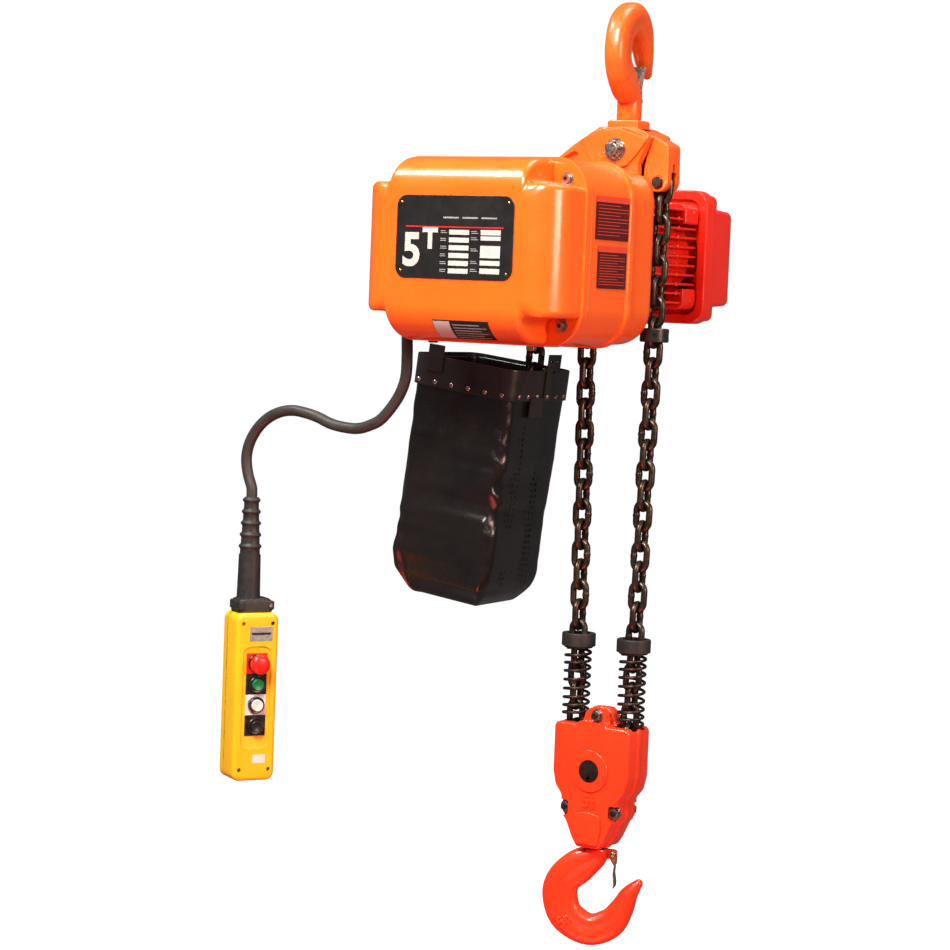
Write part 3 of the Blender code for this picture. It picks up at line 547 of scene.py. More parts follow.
def ring_at(outline: Sequence[Point], y: float, centre: Vector = DRIVE) -> Ring:
    """Stand an outline up round a centre at a depth."""
    return [Vector((centre.x + x, y, centre.z + z)) for x, z in outline]


def mirrored(half: Sequence[Point]) -> list[Point]:
    """Close a right-hand half outline with its mirror image."""
    return list(half) + [(-x, z) for x, z in reversed(half)]


# ---- surfaces -----------------------------------------------------------
class Effect(Enum):
    """Shared shading effects, each one node group."""

    UNEVEN = "Uneven colour"
    GRAIN = "Surface grain"
    RUBBED = "Rubbed sheen"
    # painted shade in corners from ambient occlusion, which also stands for dust
    CREVICE = "Crevice soil"


class Workshop:
    """Builds each shared effect once and hands it out."""

    @staticmethod
    def group(effect: Effect) -> bpy.types.NodeTree:
        """Return an effect's node group, building it the first time."""
        found = bpy.data.node_groups.get(effect.value)
        if found:
            return found
        tree = bpy.data.node_groups.new(effect.value, "ShaderNodeTree")
        tree.interface.new_socket("Vector", in_out="INPUT", socket_type="NodeSocketVector")
        {Effect.UNEVEN: Workshop._uneven, Effect.GRAIN: Workshop._grain,
         Effect.RUBBED: Workshop._rubbed, Effect.CREVICE: Workshop._crevice}[effect](tree)
        return tree

    @staticmethod
    def _socket(tree: bpy.types.NodeTree, name: str, kind: str, value: object = None,
                out: bool = False) -> None:
        """Give a group one more input or output."""
        socket = tree.interface.new_socket(name, in_out="OUTPUT" if out else "INPUT",
                                           socket_type=f"NodeSocket{kind}")
        if value is not None:
            socket.default_value = value

    @staticmethod
    def _noise(tree: bpy.types.NodeTree, start: bpy.types.Node, size: str,
               detail: float) -> bpy.types.Node:
        """Add a noise texture whose scale is one of the group's inputs."""
        texture = tree.nodes.new("ShaderNodeTexNoise")
        texture.inputs["Detail"].default_value = detail
        texture.inputs["Roughness"].default_value = 0.58
        tree.links.new(start.outputs["Vector"], texture.inputs["Vector"])
        tree.links.new(start.outputs[size], texture.inputs["Scale"])
        return texture

    @staticmethod
    def _spread(tree: bpy.types.NodeTree, value: bpy.types.NodeSocket, low: float,
                high: float) -> bpy.types.Node:
        """Stretch a value between two limits to the whole range."""
        spread = tree.nodes.new("ShaderNodeMapRange")
        spread.inputs["From Min"].default_value = low
        spread.inputs["From Max"].default_value = high
        tree.links.new(value, spread.inputs["Value"])
        return spread

    @staticmethod
    def _uneven(tree: bpy.types.NodeTree) -> None:
        """Colour that wanders between two neighbours."""
        Workshop._socket(tree, "Scale", "Float", 8.0)
        Workshop._socket(tree, "Base", "Color")
        Workshop._socket(tree, "Other", "Color")
        Workshop._socket(tree, "Color", "Color", out=True)
        start, end = tree.nodes.new("NodeGroupInput"), tree.nodes.new("NodeGroupOutput")
        texture = Workshop._noise(tree, start, "Scale", 5.0)
        spread = Workshop._spread(tree, texture.outputs["Fac"], 0.34, 0.70)
        mix = tree.nodes.new("ShaderNodeMix")
        mix.data_type = "RGBA"
        tree.links.new(spread.outputs["Result"], mix.inputs["Factor"])
        tree.links.new(start.outputs["Base"], mix.inputs["A"])
        tree.links.new(start.outputs["Other"], mix.inputs["B"])
        tree.links.new(mix.outputs["Result"], end.inputs["Color"])

    @staticmethod
    def _grain(tree: bpy.types.NodeTree) -> None:
        """Fine relief over a broader waviness."""
        Workshop._socket(tree, "Scale", "Float", 300.0)
        Workshop._socket(tree, "Wave", "Float", 40.0)
        Workshop._socket(tree, "Depth", "Float", 0.0002)
        Workshop._socket(tree, "Normal", "Vector", out=True)
        start, end = tree.nodes.new("NodeGroupInput"), tree.nodes.new("NodeGroupOutput")
        fine = Workshop._noise(tree, start, "Scale", 3.0)
        wave = Workshop._noise(tree, start, "Wave", 1.0)
        add = tree.nodes.new("ShaderNodeMath")
        add.operation = "MULTIPLY_ADD"
        add.inputs[1].default_value = 1.6
        tree.links.new(wave.outputs["Fac"], add.inputs[0])
        tree.links.new(fine.outputs["Fac"], add.inputs[2])
        bump = tree.nodes.new("ShaderNodeBump")
        tree.links.new(start.outputs["Depth"], bump.inputs["Distance"])
        tree.links.new(add.outputs["Value"], bump.inputs["Height"])
        tree.links.new(bump.outputs["Normal"], end.inputs["Normal"])

    @staticmethod
    def _rubbed(tree: bpy.types.NodeTree) -> None:
        """Roughness that varies with handling marks."""
        Workshop._socket(tree, "Scale", "Float", 20.0)
        Workshop._socket(tree, "Smooth", "Float", 0.3)
        Workshop._socket(tree, "Dull", "Float", 0.5)
        Workshop._socket(tree, "Roughness", "Float", out=True)
        start, end = tree.nodes.new("NodeGroupInput"), tree.nodes.new("NodeGroupOutput")
        texture = Workshop._noise(tree, start, "Scale", 8.0)
        spread = Workshop._spread(tree, texture.outputs["Fac"], 0.36, 0.66)
        tree.links.new(start.outputs["Smooth"], spread.inputs["To Min"])
        tree.links.new(start.outputs["Dull"], spread.inputs["To Max"])
        tree.links.new(spread.outputs["Result"], end.inputs["Roughness"])

    @staticmethod
    def _crevice(tree: bpy.types.NodeTree) -> None:
        """Mask of corners found by ambient occlusion, painted shade there that also stands for dust and
        oil, broken up by noise.
        """
        Workshop._socket(tree, "Scale", "Float", 60.0)
        Workshop._socket(tree, "Reach", "Float", 0.008)
        Workshop._socket(tree, "Mask", "Float", out=True)
        start, end = tree.nodes.new("NodeGroupInput"), tree.nodes.new("NodeGroupOutput")
        shade = tree.nodes.new("ShaderNodeAmbientOcclusion")
        shade.samples = 4
        tree.links.new(start.outputs["Reach"], shade.inputs["Distance"])
        hidden = Workshop._spread(tree, shade.outputs["AO"], 0.82, 0.25)
        texture = Workshop._noise(tree, start, "Scale", 4.0)
        patchy = Workshop._spread(tree, texture.outputs["Fac"], 0.30, 0.62)
        product = tree.nodes.new("ShaderNodeMath")
        product.operation = "MULTIPLY"
        tree.links.new(hidden.outputs["Result"], product.inputs[0])
        tree.links.new(patchy.outputs["Result"], product.inputs[1])
        tree.links.new(product.outputs["Value"], end.inputs["Mask"])


@dataclass(frozen=True)
class Finish:
    """A surface: one Principled shader with colour, sheen and relief that vary.

    Attributes:
        name: the material's name.
        colour: its main colour.
        other: the colour it wanders to.
        smooth: its lowest roughness.
        dull: its highest roughness.
        metallic: how metallic it is.
        coat: weight of the clear coat.
        spots: how many colour patches per metre.
        grain: how many grains per metre.
        wave: how many broad waves per metre.
        depth: depth of the relief in metres.
        shade_and_soil: the colour put into corners, painted shade where it is darker and dust where it
            is lighter, if any.
        reach: how far from a corner that colour reaches.
    """

    name: str
    colour: tuple[float, float, float]
    other: tuple[float, float, float]
    smooth: float
    dull: float
    metallic: float = 0.0
    coat: float = 0.0
    spots: float = 9.0
    grain: float = 420.0
    wave: float = 45.0
    depth: float = 0.00015
    shade_and_soil: tuple[float, float, float] | None = None
    reach: float = 0.010

    def material(self) -> bpy.types.Material:
        """Return the finished material, building it the first time."""
        found = bpy.data.materials.get(self.name)
        if found:
            return found
        material = bpy.data.materials.new(self.name)
        material.use_nodes = True
        shader = material.node_tree.nodes["Principled BSDF"]
        shader.inputs["Metallic"].default_value = self.metallic
        shader.inputs["Coat Weight"].default_value = self.coat
        shader.inputs["Coat Roughness"].default_value = 0.12
        self._wire(material.node_tree, shader)
        return material

    def _wire(self, tree: bpy.types.NodeTree, shader: bpy.types.Node) -> None:
        """Link the shared effects to the shader."""
        place = tree.nodes.new("ShaderNodeTexCoord")
        uneven = self._effect(tree, place, Effect.UNEVEN, Scale=self.spots,
                              Base=(*self.colour, 1.0), Other=(*self.other, 1.0))
        rubbed = self._effect(tree, place, Effect.RUBBED, Scale=self.spots * 3.0,
                              Smooth=self.smooth, Dull=self.dull)
        grain = self._effect(tree, place, Effect.GRAIN, Scale=self.grain, Wave=self.wave,
                             Depth=self.depth)
        colour = uneven.outputs["Color"]
        # Painted shade: ambient occlusion darkens corners towards this colour; on black rubber the
        # lighter colour is dust.
        if self.shade_and_soil:
            crevice = self._effect(tree, place, Effect.CREVICE, Scale=70.0, Reach=self.reach)
            mix = tree.nodes.new("ShaderNodeMix")
            mix.data_type = "RGBA"
            mix.inputs["B"].default_value = (*self.shade_and_soil, 1.0)
            tree.links.new(crevice.outputs["Mask"], mix.inputs["Factor"])
            tree.links.new(colour, mix.inputs["A"])
            colour = mix.outputs["Result"]
        tree.links.new(colour, shader.inputs["Base Color"])
        tree.links.new(rubbed.outputs["Roughness"], shader.inputs["Roughness"])
        tree.links.new(grain.outputs["Normal"], shader.inputs["Normal"])

    @staticmethod
    def _effect(tree: bpy.types.NodeTree, place: bpy.types.Node, effect: Effect,
                **values: object) -> bpy.types.Node:
        """Put one shared effect into a material with its values."""
        node = tree.nodes.new("ShaderNodeGroup")
        node.node_tree = Workshop.group(effect)
        tree.links.new(place.outputs["Object"], node.inputs["Vector"])
        for key, value in values.items():
            node.inputs[key].default_value = value
        return node


# The corner colour of each finish below is painted shade; on rubber it is lighter dust.
COVER_PAINT = Finish("orange gloss paint", (0.96, 0.155, 0.010), (0.93, 0.130, 0.008),
                     0.24, 0.36, coat=0.55, depth=0.00007, wave=60.0,
                     shade_and_soil=(0.34, 0.018, 0.004))
CAST_PAINT = Finish("orange paint on castings", (0.95, 0.150, 0.012), (0.90, 0.110, 0.009),
                    0.26, 0.42, coat=0.45, grain=380.0, depth=0.00060, shade_and_soil=(0.30, 0.018, 0.004))
MOTOR_PAINT = Finish("red gloss paint", (0.90, 0.026, 0.008), (0.82, 0.018, 0.006), 0.24, 0.40,
                     coat=0.5, grain=330.0, depth=0.00014, shade_and_soil=(0.17, 0.005, 0.003))
BLOCK_PAINT = Finish("red paint on castings", (0.92, 0.052, 0.008), (0.84, 0.038, 0.006),
                     0.22, 0.40, coat=0.55, grain=260.0, depth=0.00032, shade_and_soil=(0.20, 0.008, 0.003))
HOOK_PAINT = Finish("red paint on a forging", (0.91, 0.048, 0.008), (0.80, 0.034, 0.006),
                    0.20, 0.38, coat=0.6, grain=200.0, depth=0.00028, shade_and_soil=(0.22, 0.007, 0.003))
BARE_STEEL = Finish("machined steel", (0.46, 0.43, 0.41), (0.33, 0.30, 0.27), 0.24, 0.46,
                    metallic=1.0, spots=60.0, grain=900.0, depth=0.00006,
                    shade_and_soil=(0.06, 0.05, 0.04), reach=0.004)
DARK_STEEL = Finish("oiled dark steel", (0.060, 0.046, 0.038), (0.030, 0.022, 0.018), 0.26, 0.50,
                    metallic=0.75, spots=45.0, grain=520.0, depth=0.00016,
                    shade_and_soil=(0.006, 0.004, 0.003), reach=0.006)
CHAIN_STEEL = Finish("oiled chain steel", (0.105, 0.078, 0.060), (0.050, 0.036, 0.028),
                     0.24, 0.46, metallic=0.85, spots=55.0, grain=520.0, depth=0.00014,
                     shade_and_soil=(0.008, 0.005, 0.004), reach=0.007)
YELLOW_ZINC = Finish("yellow zinc", (0.62, 0.47, 0.17), (0.50, 0.42, 0.40), 0.20, 0.42,
                     metallic=1.0, spots=42.0, grain=700.0, depth=0.00006,
                     shade_and_soil=(0.20, 0.12, 0.03), reach=0.004)
PALE_ZINC = Finish("pale iridescent zinc", (0.66, 0.62, 0.46), (0.55, 0.50, 0.52), 0.18, 0.38,
                   metallic=1.0, spots=36.0, grain=700.0, depth=0.00006)
BRASS = Finish("brass", (0.72, 0.47, 0.16), (0.60, 0.36, 0.10), 0.20, 0.40, metallic=1.0,
               spots=60.0, depth=0.00005)
RUBBER = Finish("black rubber", (0.014, 0.014, 0.015), (0.024, 0.023, 0.022), 0.42, 0.62,
                spots=30.0, grain=800.0, depth=0.00007, shade_and_soil=(0.050, 0.046, 0.042),
                reach=0.004)
CABLE_JACKET = Finish("cable jacket", (0.030, 0.026, 0.024), (0.046, 0.040, 0.036), 0.40, 0.58,
                      spots=24.0, grain=900.0, depth=0.00006)
BLACK_PAINT = Finish("black satin paint", (0.012, 0.011, 0.011), (0.020, 0.018, 0.017),
                     0.26, 0.44, coat=0.3, spots=20.0, depth=0.00010)
VINYL = Finish("coated bag cloth", (0.0060, 0.0052, 0.0056), (0.0110, 0.0082, 0.0078), 0.15, 0.30,
               coat=0.35, spots=14.0, grain=1500.0, wave=26.0, depth=0.00022)
GASKET = Finish("pale gasket", (0.62, 0.74, 0.34), (0.54, 0.66, 0.36), 0.5, 0.7, spots=60.0)
LABEL = Finish("dark red label", (0.090, 0.007, 0.008), (0.070, 0.006, 0.007), 0.30, 0.42,
               spots=30.0, depth=0.00003)
LABEL_INK = Finish("pale red ink", (0.80, 0.075, 0.035), (0.72, 0.060, 0.030), 0.34, 0.48,
                   spots=50.0, depth=0.00003)
PLATE = Finish("black anodised plate", (0.010, 0.010, 0.011), (0.018, 0.017, 0.017), 0.24, 0.40,
               spots=18.0, grain=1400.0, depth=0.00003)
WHITE_INK = Finish("white ink", (0.58, 0.58, 0.57), (0.52, 0.52, 0.50), 0.36, 0.5, spots=50.0)
GREY_INK = Finish("grey ink", (0.36, 0.36, 0.36), (0.28, 0.28, 0.28), 0.4, 0.5, spots=50.0)
RED_INK = Finish("red ink", (0.78, 0.020, 0.016), (0.66, 0.014, 0.012), 0.34, 0.48, spots=50.0)
STICKER = Finish("pale label", (0.80, 0.78, 0.72), (0.70, 0.68, 0.62), 0.30, 0.46, spots=40.0)
SILVER = Finish("silver label", (0.62, 0.62, 0.60), (0.50, 0.50, 0.49), 0.24, 0.40,
                metallic=0.8, spots=50.0)
PENDANT_SHELL = Finish("yellow moulding", (0.86, 0.56, 0.012), (0.80, 0.49, 0.010), 0.26, 0.40,
                       spots=12.0, grain=900.0, depth=0.00010, shade_and_soil=(0.30, 0.16, 0.006))
RED_CAP = Finish("red cap", (0.72, 0.020, 0.014), (0.62, 0.014, 0.010), 0.22, 0.36, spots=40.0,
                 depth=0.00004)
GREEN_CAP = Finish("green cap", (0.008, 0.20, 0.060), (0.006, 0.16, 0.050), 0.22, 0.38,
                   spots=40.0, depth=0.00004)
WHITE_CAP = Finish("white cap", (0.80, 0.80, 0.77), (0.72, 0.71, 0.67), 0.24, 0.40, spots=40.0,
                   depth=0.00004)
BLACK_CAP = Finish("black cap", (0.010, 0.010, 0.011), (0.018, 0.018, 0.019), 0.20, 0.36,
                   spots=40.0, depth=0.00004)
COPPER = Finish("windings", (0.44, 0.17, 0.07), (0.30, 0.11, 0.05), 0.3, 0.5, metallic=0.9,
                spots=90.0, grain=900.0, depth=0.0003)
FLOOR_PAINT = Finish("studio floor", (0.90, 0.90, 0.89), (0.88, 0.88, 0.87), 0.6, 0.8, spots=0.7,
                     grain=60.0)


# ---- studio -------------------------------------------------------------
@dataclass
class Studio:
    """Camera, soft light and a pale floor far below the hanging hoist.

    Attributes:
        place: where the camera stands.
        turn: its azimuth, pitch and roll in degrees.
        lens: focal length in millimetres.
        floor: height of the floor.
    """

    place: Vector = field(default_factory=lambda: Vector((2.2175, -3.8192, -0.4432)))
    turn: tuple[float, float, float] = (33.1463, -3.8924, 2.3224)
    lens: float = 99.915
    floor: float = -2.35

    def build(self) -> None:
        """Set up the camera, then the world, the lights and the floor."""
        bpy.context.scene.view_settings.view_transform = "Standard"
        self._camera()
        self._world()
        self._lamp("key", (0.5, -3.4, 2.3), 1.6, 330.0, (1.0, 0.97, 0.90))
        self._lamp("strip", (-1.9, -1.7, 2.5), 0.9, 95.0, (1.0, 0.96, 0.86))
        self._lamp("side", (3.9, -0.6, 0.3), 1.4, 120.0, (1.0, 0.62, 0.50))
        self._lamp("top", (0.6, 1.0, 2.7), 1.6, 55.0, (1.0, 0.94, 0.86))
        self._lamp("below", (0.4, -1.8, -3.4), 2.0, 75.0, (1.0, 0.10, 0.06))
        self._ground()

    def _camera(self) -> None:
        """Aim the camera by its three angles."""
        azimuth, pitch, roll = (radians(angle) for angle in self.turn)
        ahead = Vector((-sin(azimuth) * cos(pitch), cos(azimuth) * cos(pitch), sin(pitch)))
        right = Vector((cos(azimuth), sin(azimuth), 0.0))
        up = right.cross(ahead)
        across = right * cos(roll) + up * sin(roll)
        above = up * cos(roll) - right * sin(roll)
        data = bpy.data.cameras.new("camera")
        data.lens = self.lens
        camera = bpy.data.objects.new("camera", data)
        camera.matrix_world = Matrix((across, above, -ahead)).transposed().to_4x4()
        camera.location = self.place
        bpy.context.collection.objects.link(camera)
        bpy.context.scene.camera = camera

    def _world(self) -> None:
        """White behind the object, softer as a light on it."""
        world = bpy.data.worlds.new("studio")
        bpy.context.scene.world = world
        world.use_nodes = True
        tree = world.node_tree
        glow = tree.nodes["Background"]
        glow.inputs["Color"].default_value = (1.0, 1.0, 1.0, 1.0)
        path = tree.nodes.new("ShaderNodeLightPath")
        level = tree.nodes.new("ShaderNodeMapRange")
        level.inputs["To Min"].default_value = 0.12
        level.inputs["To Max"].default_value = 1.05
        tree.links.new(path.outputs["Is Camera Ray"], level.inputs["Value"])
        tree.links.new(level.outputs["Result"], glow.inputs["Strength"])

    @staticmethod
    def _lamp(name: str, place: Sequence[float], size: float, power: float,
              colour: Sequence[float]) -> None:
        """Hang one large soft lamp that faces the hoist.

        Args:
            name: the lamp's name.
            place: where it hangs.
            size: the side of its square.
            power: its power in watts.
            colour: its colour.
        """
        data = bpy.data.lights.new(name, "AREA")
        data.color = colour
        data.size = size
        data.energy = power
        lamp = bpy.data.objects.new(name, data)
        lamp.location = place
        aim = Vector((-0.1, 0.0, -0.75)) - lamp.location
        lamp.rotation_euler = aim.to_track_quat("-Z", "Y").to_euler()
        bpy.context.collection.objects.link(lamp)

    def _ground(self) -> None:
        """Lay the floor."""
        Blank.clear()
        bpy.ops.mesh.primitive_plane_add(size=60.0, location=(0.0, 0.0, self.floor))
        ground = Blank("studio_floor").obj
        ground.data.materials.append(self._floor_material())
        ground.visible_diffuse = False
        ground.visible_glossy = False
        ground.visible_shadow = False

    @staticmethod
    def _floor_material() -> bpy.types.Material:
        """Pale matt floor that is evenly lit as far as it is seen."""
        material = FLOOR_PAINT.material()
        shader = material.node_tree.nodes["Principled BSDF"]
        shader.inputs["Emission Color"].default_value = (1.0, 1.0, 1.0, 1.0)
        shader.inputs["Emission Strength"].default_value = 0.9
        return material


# ---- pendant cable ------------------------------------------------------
CABLE_LINE = [
    (-0.2770, -0.5004), (-0.2770, -0.5200), (-0.2758, -0.5474), (-0.2774, -0.5859),
    (-0.2920, -0.6194), (-0.3214, -0.6538), (-0.3465, -0.6674), (-0.3720, -0.6743),
    (-0.4018, -0.6736), (-0.4281, -0.6693), (-0.4549, -0.6602), (-0.4817, -0.6543),
    (-0.5085, -0.6517), (-0.5352, -0.6559), (-0.5617, -0.6681), (-0.5841, -0.6879),
    (-0.6000, -0.7137), (-0.6055, -0.7400), (-0.6010, -0.7668), (-0.5925, -0.7880),
    (-0.5911, -0.7980), (-0.5910, -0.8061), (-0.5910, -0.8400), (-0.5910, -0.8720),
    (-0.5910, -0.9040)]


@dataclass
class PendantCable:
    """Round cable from the hoist's gland to the inside of the pendant's boot.

    Attributes:
        depth: the plane it hangs in.
        radius: its radius.
        length: its real length, boot included; not used.
    """

    depth: float = -0.2215
    radius: float = 0.0095
    length: float = 0.657

    def build(self) -> None:
        """Sweep the cable along its line and its ribbed boot over its end."""
        line = curve_through([(x, self.depth, z) for x, z in CABLE_LINE], 150)
        rings = []
        for i, point in enumerate(line):
            along = (line[min(i + 1, len(line) - 1)] - line[max(i - 1, 0)]).normalized()
            side, out = Vector((0, 1, 0)), along.cross(Vector((0, 1, 0)))
            rings.append([point + self.radius * (side * cos(a) + out * sin(a))
                          for a in (tau * k / 20 for k in range(20))])
        cable = Blank.sweep("cable", rings).done("hoist", "black_rubber", CABLE_JACKET,
                                                 ["pendant_cable"])
        boot = self._boot()

    def _boot(self) -> bpy.types.Object:
        """Five soft ribs, then a plain taper into the pendant."""
        profile = [(0.0100, -0.8066), (0.0118, -0.8064)]
        for rib in range(5):
            top, radius = -0.8090 - 0.0200 * rib, 0.0128 + 0.0011 * rib
            profile += [(radius + 0.0012, top), (radius + 0.0026, top - 0.0014),
                        (radius + 0.0026, top - 0.0040), (radius + 0.0010, top - 0.0056),
                        (radius, top - 0.0075), (radius + 0.0003, top - 0.0175)]
        profile += [(0.0190, -0.9060), (0.0194, -0.9300), (0.0202, -0.9700), (0.0205, -0.9800)]
        boot = Blank.lathe("boot", profile, (-0.5910, self.depth, 0.0), sides=36)
        return boot.done("hoist", "black_rubber", RUBBER, ["pendant_boot"], angle=50)


# ---- hooks --------------------------------------------------------------
# across and up from the bowl's centre, then width and thickness
HOOK_LINE = [
    (0.000, 0.084, 0.041, 0.041), (-0.004, 0.071, 0.044, 0.041), (-0.027, 0.054, 0.058, 0.040),
    (-0.053, 0.030, 0.058, 0.038), (-0.060, 0.002, 0.060, 0.038), (-0.047, -0.034, 0.058, 0.040),
    (-0.008, -0.054, 0.053, 0.042), (0.028, -0.041, 0.051, 0.040), (0.047, -0.014, 0.041, 0.036),
    (0.059, 0.012, 0.030, 0.030), (0.076, 0.034, 0.014, 0.016)]


@dataclass
class Hook:
    """Forged hook with a grooved section, its sprung latch and the latch's pin.

    Attributes:
        node: the plain solid it stands for.
        body: the body it rides on.
        slot: its material slot.
        bowl: height of its bowl's centre.
        azimuth: where its tip points, in degrees.
        up: 1 where the shank rises, -1 where it goes down.
        shank: how far the shank reaches before it narrows.
        stub: length of the narrow end.
        finish: its paint.
        latch_body: the body the latch rides on.
        latch_finish: the latch's plating.
        mark: the capacity mark on its back, if any.
    """

    node: str
    body: str
    slot: str
    bowl: float
    azimuth: float
    up: int
    shank: float
    stub: float
    finish: Finish
    latch_body: str
    latch_finish: Finish
    mark: str = ""
    pivot: Point = (0.0290, 0.0790)

    def frame(self) -> Matrix:
        """Return the matrix from the hook's plane to the world."""
        rise = Vector((0, 0, self.up))
        across = Vector((cos(radians(self.azimuth)), sin(radians(self.azimuth)), 0))
        place = Matrix((across, rise.cross(across), rise)).transposed().to_4x4()
        place.translation = (0, 0, self.bowl)
        return place

    def build(self) -> None:
        """Forge the hook, then fit its latch."""
        place = self.frame()
        forging = Blank.sweep(self.node + "_forging", self._shank() + self._rings())
        px, pz = self.pivot
        ear = Blank.slab("ear", filleted([(0.010, pz - 0.014, 0.002), (px + 0.001, pz - 0.0066, 0.004),
                                          (px + 0.0062, pz - 0.0050, 0.005),
                                          (px + 0.0062, pz + 0.0066, 0.006),
                                          (0.010, pz + 0.0075, 0.002)]), (-0.0048, 0.0048), 0.0012)
        forging.weld(ear)
        forging.moved(place)
        if self.mark:
            seat = Matrix.Translation((-0.049, -0.0196, -0.040)) @ Matrix.Rotation(
                radians(-38), 4, "Y") @ FACING
            forging.gather([Blank.letters("mark", self.mark, 0.026, 0.0012, place @ seat, 0.0006)])
        forging.done(self.body, self.slot, self.finish, [self.node], angle=50, even=False)
        self._latch(place)

    def _shank(self) -> list[Ring]:
        """Rings of the turned end that passes through its bearing."""
        sizes = ((0.0105, self.shank + self.stub), (0.0113, self.shank + self.stub - 0.001),
                 (0.0113, self.shank + 0.001), (0.0195, self.shank), (0.0205, self.shank - 0.002))
        return [[Vector((r * cos(tau * k / 40), r * sin(tau * k / 40), h)) for k in range(40)]
                for r, h in sizes]

    def _rings(self) -> list[Ring]:
        """Rings of the bowl: round bead inside, shallow groove, broad band outside."""
        line = curve_through([(a, 0, b) for a, b, _, _ in HOOK_LINE], 64)
        sizes = curve_through([(w, 0, t) for _, _, w, t in HOOK_LINE], 64)
        rings = []
        for i, point in enumerate(line):
            along = (line[min(i + 1, 63)] - line[max(i - 1, 0)]).normalized()
            along = Vector((0, 0, -1)) if i == 0 else along
            side = Vector((-along.z, 0, along.x))
            share = i / 63
            square = min(1.0, 5.0 * share) * min(1.0, 4.0 * (1 - share))
            wide, thick = sizes[i].x / 2, sizes[i].z / 2
            rings.append([self._section(point, side, wide, thick, square, tau * k / 40)
                          for k in range(40)])
        return rings + [[line[-1] + (p - line[-1]) * 0.55 + along * 0.0035 for p in rings[-1]],
                        [line[-1] + (p - line[-1]) * 0.10 + along * 0.0048 for p in rings[-1]]]

    @staticmethod
    def _section(point: Vector, side: Vector, wide: float, thick: float, square: float,
                 angle: float) -> Vector:
        """One point of the grooved section.

        Args:
            point: the section's middle.
            side: towards the bowl.
            wide: half width.
            thick: half thickness.
            square: 0 for a round section, 1 for the full grooved one.
            angle: where round the section.

        Returns:
            The point.
        """
        c, s = cos(angle), sin(angle)
        power = 1.0 - 0.32 * square
        u = abs(c) ** power * (1 if c > 0 else -1)
        v = abs(s) ** power * (1 if s > 0 else -1)
        v *= 1 - square * (0.16 * exp(-((u - 0.34) / 0.20) ** 2) + 0.10 * max(0.0, u))
        return point + side * wide * u + Vector((0, thick * v, 0))

    def _latch(self, place: Matrix) -> None:
        """Fold the latch's plate over the ear and pin it."""
        px, pz = self.pivot
        line = [(px + 0.0010, pz + 0.0065), (px + 0.0046, pz - 0.0040), (px + 0.0046, pz - 0.0150),
                (px + 0.0030, pz - 0.0330), (0.0341, 0.0290), (0.0336, 0.0215)]
        half = [0.0070, 0.0072, 0.0076, 0.0105, 0.0135, 0.0145]
        rows = []
        for (x, z), wide in zip(line, half):
            rows.append([Vector((x, wide * (k / 4 - 1), z)) for k in range(9)])
        tongue = Blank.patch(self.node + "_latch_plate", rows, 0.0016).bevel(0.0004, 2)
        cheek = filleted([(px - 0.0062, pz - 0.0050, 0.004), (px - 0.0020, pz - 0.0130, 0.002),
                          (px + 0.0052, pz - 0.0240, 0.002), (px + 0.0056, pz + 0.0050, 0.004),
                          (px - 0.0050, pz + 0.0062, 0.004)])
        sides = [Blank.slab("cheek", cheek, span, 0.0003) for span in ((-0.0084, -0.0062),
                                                                      (0.0062, 0.0084))]
        pin = [Blank.rod("pin", 0.0030, (-0.0100, 0.0100), (px, 0, pz), Axis.Y, 24).bevel(0.0006)]
        pin += [Blank.dome("head", 0.0046, 0.0018, (px, y, pz), Axis.Y) for y in (-0.0096, 0.0096)]
        coil = Blank.torus("coil", 0.0046, 0.0008, (px, 0.0054, pz), Axis.Y)
        tongue.gather(sides + pin + [coil]).moved(place)
        tongue.done(self.latch_body, "zinc_latch", self.latch_finish, [self.node + "_latch"])


